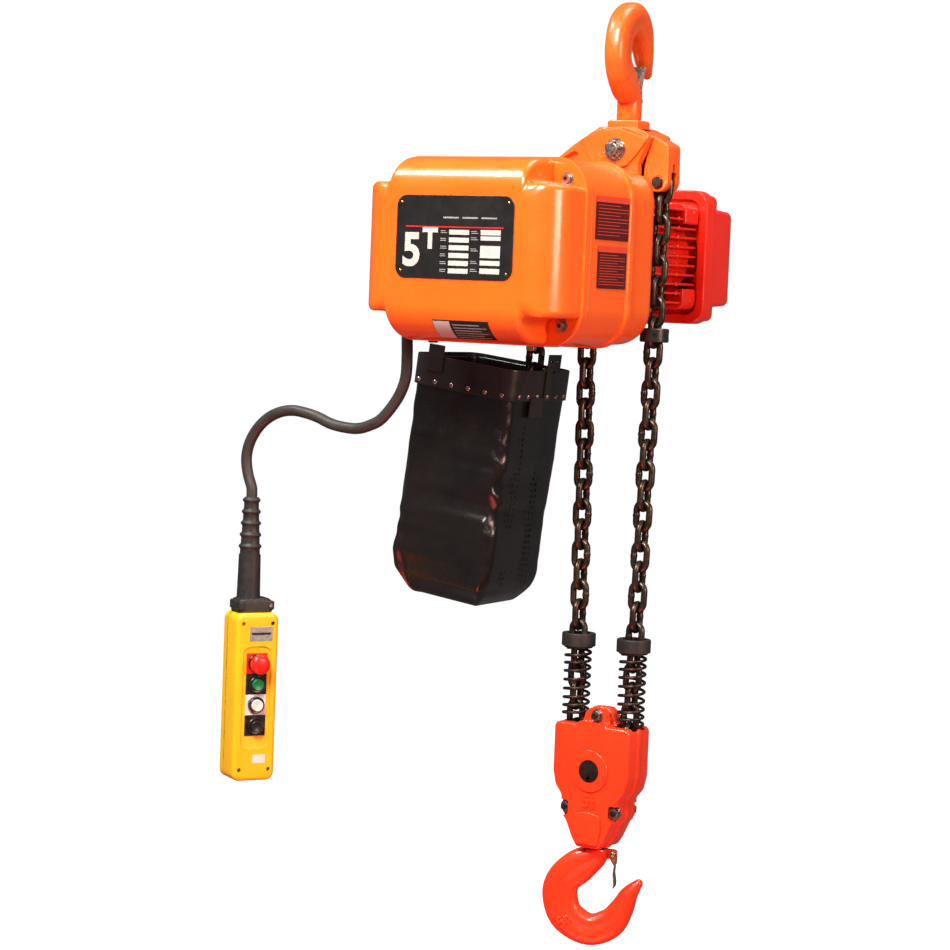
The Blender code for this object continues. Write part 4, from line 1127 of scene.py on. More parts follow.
# ---- suspension ---------------------------------------------------------
@dataclass
class Suspension:
    """Yoke under the top hook, cast frame pinned to it, and the chain's anchor."""

    half: float = 0.0394

    def build(self) -> None:
        """Make the yoke, the frame and the fasteners that show."""
        self._yoke()
        self._frame()
        self._pins()

    @staticmethod
    def _yoke() -> None:
        """Block with soft corners and a bore for the hook's shank."""
        outline = filleted([(0.0290, -0.1434, 0.005), (-0.0290, -0.1434, 0.005),
                            (-0.0290, -0.2130, 0.006), (0.0290, -0.2130, 0.006)])
        yoke = Blank.slab("yoke_block", outline, (-0.0212, 0.0212), 0.0026)
        yoke.cut(Blank.rod("bore", 0.0118, (-0.20, -0.10), (0, 0, 0)))
        yoke.cut(Blank.cube("window", (-0.04, -0.0178, -0.1780), (0.04, 0.0178, -0.1575)))
        collar = Blank.lathe("collar", [(0.0120, -0.1430), (0.0190, -0.1430), (0.0198, -0.1422),
                                        (0.0190, -0.1412), (0.0120, -0.1412)], (0, 0, 0))
        yoke.gather([collar])
        yoke.done("yoke", "suspension_paint", CAST_PAINT, ["hook_yoke"])

    def _frame(self) -> None:
        """Casting with a raised pad, a rib, a lug at the anchor and a pocket in its wing."""
        wing = filleted([(-0.130, -0.2616, 0.002), (-0.130, -0.2200, 0.008),
                         (-0.082, -0.1850, 0.030), (-0.034, -0.1560, 0.012),
                         (0.030, -0.1560, 0.012), (0.062, -0.1690, 0.006),
                         (0.058, -0.1800, 0.006), (0.041, -0.2180, 0.004),
                         (0.041, -0.2616, 0.002)])
        lug = filleted([(0.020, -0.1580, 0.002), (0.060, -0.1700, 0.010),
                        (0.089, -0.1850, 0.008), (0.0905, -0.2616, 0.024),
                        (0.054, -0.2616, 0.014), (0.020, -0.2300, 0.002)])
        casting = Blank.slab("suspension_casting", wing, (-0.0370, 0.0370), 0.0030)
        casting.weld(Blank.slab("lug", lug, (-0.0210, 0.0210), 0.0026))
        for low, high in (((-0.048, -0.0220, -0.2360), (0.046, 0.0220, -0.10)),
                          ((0.0510, -0.0080, -0.30), (0.110, 0.0080, -0.2290)),
                          ((0.0510, -0.0026, -0.30), (0.110, 0.0026, -0.2150))):
            casting.cut(Blank.cube("gap", low, high).bevel(0.0020, 3))
        seat = Blank.rod("seat", 0.0118, (-0.0280, -0.0196), (0.072, 0, -0.246), Axis.Y, 40)
        casting.cut(seat.bevel(0.0010, 2))
        pocket = filleted([(-0.106, -0.2170, 0.005), (-0.107, -0.2090, 0.006),
                           (-0.082, -0.1960, 0.006), (-0.070, -0.1990, 0.006),
                           (-0.084, -0.2130, 0.008)])
        for side in (-1, 1):
            deep = sorted((side * (self.half - 0.010), side * 0.06))
            casting.cut(Blank.slab("pocket", pocket, deep, 0.0020))
        pad = filleted([(-0.0640, -0.1745, 0.005), (-0.0490, -0.2110, 0.010),
                        (-0.0380, -0.2190, 0.008), (0.0200, -0.2225, 0.014),
                        (0.0410, -0.2010, 0.020), (0.0600, -0.1760, 0.005),
                        (0.0050, -0.1585, 0.020), (-0.0240, -0.1615, 0.010)])
        faces = [Blank.sweep("pad", softened(pad, side * (self.half + 0.0016), side * 0.0360,
                                             0.0016, Vector())) for side in (-1, 1)]
        bore = Blank.rod("bore", 0.0113, (-0.08, 0.08), YOKE_PIN, Axis.Y, 40)
        casting.gather(faces)
        casting.modify("BOOLEAN", operation="DIFFERENCE", object=bore.obj, solver="EXACT",
                       use_self=True)
        bpy.data.objects.remove(bore.obj, do_unlink=True)
        casting.done("hoist", "suspension_paint", CAST_PAINT, ["suspension_frame"])

    @staticmethod
    def _pins() -> None:
        """Yoke pin with its castle nut and split pin, and the anchor's bolt."""
        pin = Blank.rod("yoke_pin_turned", 0.0108, (-0.0555, 0.0400), YOKE_PIN, Axis.Y, 40)
        pin.bevel(0.0012, 3)
        head = Blank.rod("head", 0.0150, (0.0400, 0.0460), YOKE_PIN, Axis.Y, 40).bevel(0.0012, 3)
        pin.gather([head]).done("hoist", "machined_steel", BARE_STEEL, ["yoke_pin"])
        nut = Blank.rod("castle_nut_turned", 0.0158, (-0.0530, -0.0422), YOKE_PIN, Axis.Y, 6)
        nut.bevel(0.0010, 2)
        for turn in range(3):
            slot = Blank.cube("slot", (-0.030, -0.0560, -0.0020), (0.030, -0.0484, 0.0020))
            slot.moved(Matrix.Translation(YOKE_PIN) @ Matrix.Rotation(pi * turn / 3, 4, "Y"))
            nut.cut(slot)
        nut.cut(Blank.rod("bore", 0.0110, (-0.08, 0.0), YOKE_PIN, Axis.Y, 40))
        washer = Blank.lathe("washer", [(0.0112, -0.0422), (0.0190, -0.0422), (0.0190, -0.0400),
                                        (0.0112, -0.0400)], YOKE_PIN, Axis.Y, looped=True)
        nut.gather([washer]).done("hoist", "machined_steel", BARE_STEEL, ["castle_nut"])
        split = Blank.rod("split_pin", 0.0013, (-0.0240, 0.0190), (0, -0.0518, 0), Axis.X, 12)
        eye = Blank.torus("eye", 0.0030, 0.0011, (0.0205, -0.0518, 0), Axis.Y, 20, 8)
        split.gather([eye]).moved(Matrix.Translation(YOKE_PIN)
                                  @ Matrix.Rotation(radians(-22), 4, "Y"))
        split.done("hoist", "machined_steel", PALE_ZINC)
        anchor = Blank.rod("anchor_bolt", 0.0052, (-0.0192, 0.0244), (0.072, 0, -0.246), Axis.Y, 24)
        cap = Blank.rod("cap", 0.0098, (-0.0262, -0.0194), (0.072, 0, -0.246), Axis.Y, 6)
        anchor.gather([cap.bevel(0.0010, 2)])
        anchor.done("hoist", "machined_steel", DARK_STEEL, ["anchor_pin"])


# ---- hoist body ---------------------------------------------------------
@dataclass
class HoistBody:
    """Front cover, control base and gearbox casing, stacked along the drive axis.

    Attributes:
        hw: half width of the cover's flange.
        hh: half height of the flange.
        round: radius of the flange's corners.
        front: depth of the cover's face.
        edge: rounding between its face and its sides.
        pocket: inner corner of a screw pocket, from the drive axis.
    """

    hw: float = 0.190
    hh: float = 0.150
    round: float = 0.060
    front: float = -0.350
    edge: float = 0.058
    pocket: Point = (0.127, 0.104)

    def build(self) -> None:
        """Make the three castings, then what is screwed and stuck to them."""
        self._cover()
        self._screws()
        self._base()
        self._gearbox()
        self._fittings()

    def _outer(self, inset: float) -> list[Point]:
        """Outline of the cover at an inset, with its straight-sided pockets."""
        hw, hh = self.hw - inset, self.hh - inset
        across, down = (max(half - at, 0.016) for half, at in zip((hw, hh), self.pocket))
        return pocketed(hw, hh, across, down, 0.011)

    def _cover(self) -> None:
        """Deep pressed cover with a flange and four pockets."""
        flange = rounded(self.hw, self.hh, self.round)
        rings = [ring_at(shrunk(flange, 0.0010), -0.2421), ring_at(flange, -0.2431),
                 ring_at(flange, -0.2588), ring_at(shrunk(flange, 0.0016), -0.2604),
                 ring_at(self._outer(0.0030), -0.2606), ring_at(self._outer(0.0036), -0.2640)]
        for step in range(11):
            turn = radians(9 * step)
            rings.append(ring_at(self._outer(0.0040 + (self.edge - 0.004) * (1 - cos(turn))),
                                 self.front + self.edge * (1 - sin(turn))))
        cover = Blank.sweep("cover", rings)
        cover.hollow(lambda c, n: n.y > 0.9 and c.y > -0.2430, 0.0040)
        cover.bevel(0.0022, 3, 40)
        cover.done("hoist", "cover_paint", COVER_PAINT, ["front_cover"], angle=30)

    def _screws(self) -> None:
        """Socket screw and washer in each pocket."""
        for index, (sx, sz) in enumerate(((1, 1), (-1, 1), (-1, -1), (1, -1)), 1):
            at = DRIVE + Vector((sx * 0.153, -0.2606, sz * 0.1155))
            head = Blank.rod("socket_screw", 0.0075, (-0.0072, -0.0012), at, Axis.Y, 32)
            head.bevel(0.0009, 2)
            head.cut(Blank.rod("socket", 0.0034, (-0.0120, -0.0035), at, Axis.Y, 6))
            head.gather([Blank.rod("washer", 0.0108, (-0.0012, 0.0004), at, Axis.Y, 32)])
            head.done("hoist", "machined_steel", BARE_STEEL, [f"cover_screw_{index}"])

    def _base(self) -> None:
        """Tray behind the cover, with a seam ridge and the cable's corner pocket."""
        outline = rounded(0.188, 0.148, 0.058)
        levels = ((-0.2396, 0.0008), (-0.2388, 0.0), (-0.1640, 0.0002), (-0.1250, 0.0006),
                  (-0.1222, -0.0024), (-0.1204, -0.0034), (-0.1110, -0.0034), (-0.1090, -0.0022),
                  (-0.1080, 0.0004), (-0.1060, 0.0030), (-0.1044, 0.0050))
        base = Blank.sweep("base", [ring_at(shrunk(outline, inset), y) for y, inset in
                                    reversed(levels)])
        base.hollow(lambda c, n: n.y < -0.9 and c.y < -0.2390, 0.0050)
        base.cut(Blank.cube("pocket", (-0.310, -0.2420, -0.530), (-0.256, -0.200, -0.4740)))
        walls = [Blank.cube("wall", low, high) for low, high in
                 (((-0.2910, -0.2390, -0.4740), (-0.2500, -0.1940, -0.4690)),
                  ((-0.2556, -0.2390, -0.5120), (-0.2510, -0.1940, -0.4690)),
                  ((-0.2930, -0.2000, -0.5000), (-0.2510, -0.1950, -0.4690)))]
        ridge = Blank.slab("ridge", filleted([(0.000, -0.5180, 0.002), (0.062, -0.4985, 0.002),
                                              (0.062, -0.5010, 0.001), (0.020, -0.5200, 0.002)]),
                           (-0.1220, -0.1130), 0.001)
        base.gather(walls + [ridge])
        base.done("hoist", "cover_paint", COVER_PAINT, ["control_base"], angle=30)

    @staticmethod
    def _gearbox() -> None:
        """Gearbox casing that rounds off towards the chain's housing."""
        outline = rounded(0.186, 0.146, 0.060)
        levels = [(-0.1040, 0.0040), (-0.1026, 0.0010), (-0.1000, 0.0), (-0.0450, 0.0010)]
        levels += [(-0.0450 + 0.0194 * sin(radians(15 * n)),
                    0.0010 + 0.012 * (1 - cos(radians(15 * n)))) for n in range(1, 7)]
        case = Blank.sweep("gearbox", [ring_at(shrunk(outline, inset), y) for y, inset in levels])
        case.cut(Blank.cube("room", (-0.1960, -0.0400, -0.53), (-0.0220, 0.0, -0.2610)))
        case.cut(Blank.cube("room", (-0.1306, -0.0400, -0.2640), (0.0430, 0.0, -0.20)))
        case.cut(Blank.rod("bore", 0.0225, (-0.09, 0.2), DRIVE, Axis.Y, 40))
        case.done("hoist", "cover_paint", COVER_PAINT, ["gearbox_casing"], angle=30)

    @staticmethod
    def _fittings() -> None:
        """Brass drain nut and a small plug under the body."""
        nut = Blank.rod("drain_nut", 0.0085, (-0.5270, -0.5196), (-0.016, -0.2500, 0), Axis.Z, 6)
        nut.bevel(0.0008, 2)
        nut.done("hoist", "machined_steel", BRASS)
        plug = Blank.lathe("blank_plug", [(0.0075, -0.5180), (0.0090, -0.5192), (0.0090, -0.5215),
                                          (0.0070, -0.5235)], (-0.2270, -0.2180, 0), sides=28)
        plug.done("hoist", "black_rubber", RUBBER)


@dataclass
class Plates:
    """Rating plate and the labels beside it, carrying marks but no words."""

    face: float = -0.3518

    def build(self) -> None:
        """Stick on every plate and label."""
        self._rating()
        self._marks()
        self._side_label("side_label_large", (-0.228, -0.120), (-0.347, -0.278), 5)
        self._side_label("side_label_small", (-0.2175, -0.127), (-0.424, -0.357), 6)
        self._slope_label()

    def _rating(self) -> None:
        """Black plate with rounded corners and four rivets."""
        centre = DRIVE + Vector((0.003, 0.0, 0.017))
        plate = Blank.sweep("rating_plate", softened(rounded(0.1108, 0.0658, 0.018), self.face,
                                                     -0.3503, 0.0006, centre))
        plate.done("hoist", "plate_black", PLATE, ["nameplate"])
        rivets = [Blank.dome("rivet", 0.0024, 0.0012, (x, self.face, z), Axis.Y)
                  for x, z in ((-0.2070, -0.2985), (-0.0045, -0.2975), (-0.2060, -0.4070),
                               (-0.0055, -0.4088))]
        rivets[0].gather(rivets[1:])
        rivets[0].done("hoist", "machined_steel", BRASS)

    def _bar(self, name: str, across: Point, up: Point) -> Blank:
        """Lay one flat inked bar on the rating plate."""
        return Blank.cube(name, (across[0], self.face - 0.0003, up[0]),
                          (across[1], self.face + 0.0003, up[1]))

    def _marks(self) -> None:
        """Capacity figure, a ruled line and two columns of blank fields."""
        boxes = []
        for row in range(6):
            top = -0.3412 - 0.0122 * row
            boxes.append(self._bar("field", (-0.1138, -0.0761), (top - 0.0077, top)))
        for low, high in ((-0.3487, -0.3405), (-0.3570, -0.3505), (-0.3844, -0.3653),
                          (-0.3960, -0.3885), (-0.4091, -0.4007)):
            boxes.append(self._bar("field", (-0.0543, -0.0171), (low, high)))
        boxes[0].gather(boxes[1:]).done("hoist", "plate_black", WHITE_INK)
        stand = Matrix.Translation((-0.1850, self.face, -0.3765)) @ FACING
        small = Matrix.Translation((-0.1500, self.face, -0.3570)) @ FACING
        figure = Blank.letters("capacity_figure", "5", 0.072, 0.0003, stand, 0.0022)
        figure.gather([Blank.letters("capacity_unit", "T", 0.044, 0.0003, small, 0.0020)])
        figure.done("hoist", "plate_black", WHITE_INK)
        line = self._bar("ruled_line", (-0.1975, -0.0124), (-0.3380, -0.3362))
        line.done("hoist", "plate_black", RED_INK)
        ticks = []
        for row in range(6):
            z = -0.3426 - 0.0122 * row
            ticks.append(self._bar("tick", (-0.1300, -0.1205 + 0.0012 * (row % 3)), (z - 0.0012, z)))
            ticks.append(self._bar("tick", (-0.1300, -0.1180 - 0.0016 * (row % 2)),
                                   (z - 0.0042, z - 0.0030)))
        for z in (-0.3425, -0.3525, -0.3700, -0.3895, -0.4020):
            ticks.append(self._bar("tick", (-0.0720, -0.0620), (z - 0.0012, z)))
            ticks.append(self._bar("tick", (-0.0720, -0.0590), (z - 0.0042, z - 0.0030)))
        for x in range(3):
            start = -0.1260 + 0.0360 * x
            ticks.append(self._bar("tick", (start, start + 0.0290), (-0.3235, -0.3210)))
        ticks[0].gather(ticks[1:]).done("hoist", "plate_black", GREY_INK)

    @staticmethod
    def _side_label(name: str, along: Point, up: Point, rows: int) -> None:
        """Dark label with a red header on the cover's right side."""
        x = 0.0802
        height = up[1] - up[0]

        def block(title: str, share_along: Point, share_up: Point, out: float) -> Blank:
            """Lay one field by its shares of the label's sides."""
            ys = [along[0] + s * (along[1] - along[0]) for s in share_along]
            zs = [up[0] + s * height for s in share_up]
            return Blank.cube(title, (x, ys[0], zs[0]), (x + out, ys[1], zs[1]))

        block(name, (0, 1), (0, 1), 0.0006).done("hoist", "plate_black", LABEL)
        block(name + "_header", (0.0, 1.0), (0.86, 1.0), 0.0009).done(
            "hoist", "plate_black", LABEL_INK)
        lines = []
        for row in range(2 * rows):
            top = 0.80 - 0.76 * row / (2 * rows)
            end = 0.94 if row % 3 else 0.70
            lines.append(block(name + "_line", (0.06, end), (top - 0.014, top), 0.0008))
        lines[0].gather(lines[1:]).done("hoist", "plate_black", LABEL_INK)

    @staticmethod
    def _slope_label() -> None:
        """Curved label on the cover's lower rounding, light at its left end."""
        def rows(left: float, right: float, low: float, high: float, out: float) -> list[Ring]:
            """Points that follow the rounding between two of its angles."""
            turns = [radians(low + (high - low) * n / 10) for n in range(11)]
            return [[Vector((left + (right - left) * k / 10, -0.292 - (0.058 + out) * sin(a),
                             DRIVE.z - 0.092 - (0.054 + out) * cos(a))) for k in range(11)]
                    for a in turns]
        base = Blank.patch("slope_label", rows(-0.1450, -0.0390, 22, 66, 0.0003), 0.0004)
        base.done("hoist", "plate_black", PLATE)
        pale = Blank.patch("slope_label_pale", rows(-0.1440, -0.1130, 24, 64, 0.0006), 0.0003)
        pale.done("hoist", "plate_black", WHITE_INK)
        lines = [Blank.patch("slope_label_line", rows(-0.1080, -0.0450 - 0.012 * (n % 2),
                                                      27 + 6 * n, 29 + 6 * n, 0.0006), 0.0002)
                 for n in range(6)]
        lines[0].gather(lines[1:]).done("hoist", "plate_black", GREY_INK)


# ---- motor --------------------------------------------------------------
@dataclass
class Motor:
    """Sheave housing, finned motor barrel and square fan cover."""

    barrel: float = 0.0860
    reach: float = 0.0980
    fins: int = 11
    spread: float = 0.0806
    rise: Vector = field(default_factory=lambda: DRIVE + Vector((0, 0, 0.009)))

    def build(self) -> None:
        """Make the three red castings."""
        self._housing()
        self._barrel()
        self._fan_cover()

    @staticmethod
    def _housing() -> None:
        """Trough over the load sheave with the limit lever's ears."""
        x, z = DRIVE.x, DRIVE.z
        shell = filleted([(x + 0.078, z - 0.100, 0.001), (x + 0.078, z + 0.060, 0.020),
                          (x + 0.060, -0.2626, 0.006), (x - 0.050, -0.2626, 0.006),
                          (x - 0.078, z + 0.060, 0.020), (x - 0.078, z - 0.100, 0.001)])
        housing = Blank.slab("housing", shell, (-0.0396, 0.0416), 0.0012)
        housing.cut(Blank.rod("arch", 0.070, (-0.06, 0.06), DRIVE, Axis.Y, 48))
        housing.cut(Blank.cube("mouth", (x - 0.070, -0.06, z - 0.13), (x + 0.070, 0.06, z)))
        ears = [Blank.cube("ear", (-0.1930, low, -0.4900), (-0.1790, high, -0.4600)).bevel(0.0015)
                for low, high in ((-0.0396, -0.0345), (0.0345, 0.0416))]
        housing.gather(ears).done("hoist", "motor_paint", MOTOR_PAINT, ["sheave_housing"])

    def _barrel(self) -> None:
        """Barrel whose level fins stand out on both sides, with feet at its ends."""
        right = [(0.0, -self.barrel)]
        for n in range(self.fins):
            level = self.spread * (2 * n / (self.fins - 1) - 1)
            for edge, tip in ((level - 0.0034, False), (level - 0.0018, True),
                              (level + 0.0018, True), (level + 0.0034, False)):
                out = self.reach if tip else sqrt(self.barrel ** 2 - edge ** 2) - 0.001
                right.append((out, edge))
        right.append((0.0, self.barrel))
        outline = right + [(-x, z) for x, z in reversed(right[1:-1])]
        body = Blank.sweep("motor_barrel", [ring_at(outline, y, self.rise) for y in (0.0500, 0.2695)])
        body.bevel(0.0008, 2, 40)
        flange = Blank.rod("flange", 0.0990, (0.0422, 0.0540), DRIVE, Axis.Y, 72).bevel(0.0012, 3)
        at = self.rise
        plates = [Blank.slab("foot", filleted([(at.x + sx * 0.066, at.z + sz * 0.056, 0.004),
                                               (at.x + sx * 0.102, at.z + sz * 0.056, 0.004),
                                               (at.x + sx * 0.102, at.z + sz * 0.092, 0.014),
                                               (at.x + sx * 0.066, at.z + sz * 0.092, 0.004)]),
                             span, 0.0015)
                  for sx in (-1, 1) for sz in (-1, 1) for span in ((0.058, 0.066), (0.222, 0.268))]
        lumps = [Blank.dome("lump", 0.0038, 0.0024,
                            at + Vector((side * 0.0975, y, self.spread * (2 * n / 10 - 1))),
                            Axis.X)
                 for side in (-1, 1) for y in (0.118, 0.206) for n in range(1, 10)]
        body.gather([flange] + plates + lumps)
        body.done("hoist", "motor_paint", MOTOR_PAINT, ["motor_housing"], angle=35)
        screws = [Blank.dome("motor_screw", 0.0038, 0.0016,
                             at + Vector((sx * 0.1020, 0.2520, sz * 0.0760)), Axis.X)
                  for sx in (-1, 1) for sz in (-1, 1)]
        screws[0].gather(screws[1:]).done("hoist", "motor_paint", MOTOR_PAINT)

    def _fan_cover(self) -> None:
        """Deep cap with cut-in corners, a broad flat front rim and slots for air."""
        def notched(inset: float) -> list[Point]:
            """Outline with cut-in corners at an inset."""
            return pocketed(0.1160 - inset, 0.1160 - inset, 0.030, 0.028, 0.008)
        at, rim = self.rise, rounded(0.1170, 0.1170, 0.030)
        mouth = rounded(0.1010, 0.1010, 0.020)
        rings = [ring_at(shrunk(rim, 0.0040), 0.2780, at), ring_at(mouth, 0.2780, at),
                 ring_at(mouth, 0.2712, at), ring_at(shrunk(mouth, -0.0008), 0.2704, at),
                 ring_at(shrunk(rim, 0.0020), 0.2704, at), ring_at(rim, 0.2722, at),
                 ring_at(rim, 0.2990, at), ring_at(shrunk(rim, 0.0012), 0.3004, at),
                 ring_at(notched(0.0010), 0.3006, at), ring_at(notched(0.0020), 0.3200, at),
                 ring_at(notched(0.0040), 0.3600, at)]
        for step in range(1, 8):
            turn = radians(90 * step / 7)
            rings.append(ring_at(notched(0.0040 + 0.020 * (1 - cos(turn))),
                                 0.3600 + 0.0300 * sin(turn), at))
        cap = Blank.sweep("fan_cap", rings)
        cap.cut(Blank.rod("air_room", 0.0980, (0.2600, 0.3560), at, Axis.Y, 64))
        for side in (-1, 1):
            for row in range(3):
                slot = filleted([(side * 0.040 + 0.024, -0.026 + 0.030 * row, 0.0035),
                                 (side * 0.040 - 0.024, -0.026 + 0.030 * row, 0.0035),
                                 (side * 0.040 - 0.024, -0.034 + 0.030 * row, 0.0035),
                                 (side * 0.040 + 0.024, -0.034 + 0.030 * row, 0.0035)])
                cap.cut(Blank.sweep("slot", [ring_at(slot, y) for y in (0.3620, 0.410)]))
        cap.bevel(0.0010, 2, 40)
        cap.done("hoist", "motor_paint", MOTOR_PAINT, ["fan_cover"], angle=30)


# ---- chain --------------------------------------------------------------
@dataclass
class Chain:
    """Load chain: one welded link copied along its way through the hoist.

    Attributes:
        pitch: length of a link inside.
        width: its outside width.
        wire: radius of its wire.
        riding: first and last link of the stretch that moves with the block.
    """

    pitch: float = 0.034
    width: float = 0.0355
    wire: float = 0.0056
    riding: tuple[int, int] = (17, 44)

    def build(self) -> None:
        """Copy the link along all three stretches."""
        route = self._route()
        total = int(sum((b - a).length for a, b in zip(route, route[1:])) / self.pitch)
        for name, body, first, last in (("dead_end", "hoist", 0, self.riding[0]),
                                        ("block", "block", *self.riding),
                                        ("upper", "hoist", self.riding[1], total)):
            master = self._link(0.98 if name == "block" else 1.0)
            links = [master.copied("link", self._place(route, n)) for n in range(first, last)]
            links[0].gather(links[1:])
            links[0].obj.name = f"chain_{name}"
            links[0].done(body, "chain_steel", CHAIN_STEEL, [f"load_chain_{name}"], 60, False)
            bpy.data.objects.remove(master.obj, do_unlink=True)

    def _link(self, share: float) -> Blank:
        """Bend one link in the XZ plane, with its weld half way along one side."""
        wire = self.wire * share
        bend = self.width / 2 - self.wire
        straight = self.pitch / 2 + self.wire - bend - 0.0003
        track = [(bend * cos(a), straight + bend * sin(a)) for a in
                 (pi * n / 9 for n in range(10))]
        track += [(-bend, straight * (1 - 2 * n / 4)) for n in range(1, 4)]
        track += [(bend * cos(a), -straight + bend * sin(a)) for a in
                  (pi + pi * n / 9 for n in range(10))]
        side = [-0.75, -0.34, -0.24, -0.12, 0.0, 0.12, 0.24, 0.34, 0.75]
        swell = {-0.24: 1.05, -0.12: 1.13, 0.0: 1.06, 0.12: 1.13, 0.24: 1.05}
        weld = [(bend, straight * s) for s in side]
        track += weld
        grow = [1.0] * (len(track) - len(side)) + [swell.get(s, 1.0) for s in side]
        rings = []
        for i, ((x, z), more) in enumerate(zip(track, grow)):
            after, before = track[(i + 1) % len(track)], track[i - 1]
            along = Vector((after[0] - before[0], 0, after[1] - before[1])).normalized()
            out = Vector((along.z, 0, -along.x))
            rings.append([Vector((x, 0, z)) + wire * more * (out * cos(a) + Vector((0, sin(a), 0)))
                          for a in (tau * k / 12 for k in range(12))])
        return Blank.sweep("link", rings, looped=True)

    def _place(self, route: Sequence[Vector], index: int) -> Matrix:
        """Return where one link lies on the route."""
        a = self._at(route, index * self.pitch)
        b = self._at(route, (index + 1) * self.pitch)
        along = (b - a).normalized()
        across = Vector((along.z, 0, -along.x)) if index % 2 == 0 else Vector((0, 1, 0))
        place = Matrix((across, along.cross(across), along)).transposed().to_4x4()
        place.translation = (a + b) / 2
        return place

    @staticmethod
    def _route() -> list[Vector]:
        """Way of the chain: anchor, block sheave, load sheave, slack end."""
        low, high = 0.051, 0.044
        way = [(0.072, -0.2372), (low, BLOCK_AXLE.z)]
        way += [(low * cos(-pi * n / 24), BLOCK_AXLE.z + low * sin(-pi * n / 24))
                for n in range(1, 25)]
        way += [(DRIVE.x + high * cos(pi * n / 24), DRIVE.z + high * sin(pi * n / 24))
                for n in range(25)]
        way.append((DRIVE.x - high - 0.018, -0.640))
        return [Vector((x, 0, z)) for x, z in way]

    @staticmethod
    def _at(route: Sequence[Vector], distance: float) -> Vector:
        """Return the point at a distance along the route."""
        for start, end in zip(route, route[1:]):
            span = (end - start).length
            if distance <= span:
                return start.lerp(end, distance / span)
            distance -= span
        return route[-1]


def fall_x(side: int, z: float) -> float:
    """Return where the lead (-1) or dead-end (+1) fall passes a height."""
    top = Vector((0.072, -0.246)) if side > 0 else Vector((DRIVE.x + 0.044, DRIVE.z))
    low = side * 0.051
    return low + (top.x - low) * (z - BLOCK_AXLE.z) / (top.y - BLOCK_AXLE.z)


@dataclass
class FallFittings:
    """Stop collar on the dead-end fall, and a bumper on a spring round each fall."""

    foot: float = -1.1488
    top: float = -1.0332

    def build(self) -> None:
        """Make the collar, then both springs and bumpers."""
        self._collar()
        for side, fall in ((-1, "lead"), (1, "dead_end")):
            x = fall_x(side, -1.09)
            self._spring(fall, x)
            self._bumper(fall, x)

    @staticmethod
    def _collar() -> None:
        """Split black ring clamped by radial socket screws."""
        x = 0.072 + (0.051 - 0.072) * (-0.246 + 0.497) / (-0.246 + 1.231)
        collar = Blank.lathe("collar_ring", [(0.0170, -0.5085), (0.0226, -0.5085),
                                             (0.0243, -0.5066), (0.0243, -0.4874),
                                             (0.0226, -0.4855), (0.0170, -0.4855)],
                             (x, 0, 0), sides=56, looped=True)
        screws = []
        for turn in (-60, 30, 120, 210):
            place = Matrix.Translation((x, 0, -0.497)) @ Matrix.Rotation(radians(turn), 4, "Z")
            hole = Blank.rod("hole", 0.0046, (0.0215, 0.0300), (0, 0, 0), Axis.X, 24)
            collar.cut(hole.moved(place))
            screw = Blank.rod("screw", 0.0040, (0.0200, 0.0238), (0, 0, 0), Axis.X, 24)
            screw.cut(Blank.rod("socket", 0.0020, (0.0222, 0.03), (0, 0, 0), Axis.X, 6))
            screws.append(screw.moved(place))
        collar.done("hoist", "black_rubber", BLACK_PAINT, ["stop_collar"])
        screws[0].gather(screws[1:])
        screws[0].obj.name = "collar_screws"
        screws[0].done("hoist", "machined_steel", DARK_STEEL)

    def _spring(self, fall: str, x: float) -> None:
        """Wind a buffer spring round a fall, fastened to the block."""
        turns, wire, coil = 8.5, 0.0026, 0.0212
        rings = []
        for n in range(int(turns * 24) + 1):
            share = n / (turns * 24)
            angle = tau * turns * share
            rise = share + 0.020 * sin(tau * share) * -1
            out = Vector((cos(angle), sin(angle), 0))
            centre = Vector((x, 0, self.foot + (self.top - self.foot) * rise)) + out * coil
            rings.append([centre + wire * (out * cos(a) + Vector((0, 0, sin(a))))
                          for a in (tau * k / 10 for k in range(10))])
        spring = Blank.sweep(f"coil_{fall}", rings).done(
            "block", "spring_steel", DARK_STEEL, [f"buffer_spring_{fall}"], 60, False)
        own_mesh(spring)

    @staticmethod
    def _bumper(fall: str, x: float) -> None:
        """Turn a rubber bumper with a guide lip."""
        profile = [(0.0200, -1.0300), (0.0240, -1.0300), (0.0245, -1.0294), (0.0245, -1.0274),
                   (0.0282, -1.0270), (0.0288, -1.0262), (0.0288, -1.0070), (0.0278, -1.0052),
                   (0.0260, -1.0050), (0.0212, -1.0050), (0.0200, -1.0062)]
        bumper = Blank.lathe(f"bumper_ring_{fall}", profile, (x, 0, 0), sides=56, looped=True)
        bumper.done(f"bumper_{fall}", "black_rubber", RUBBER, [f"bumper_{fall}"])


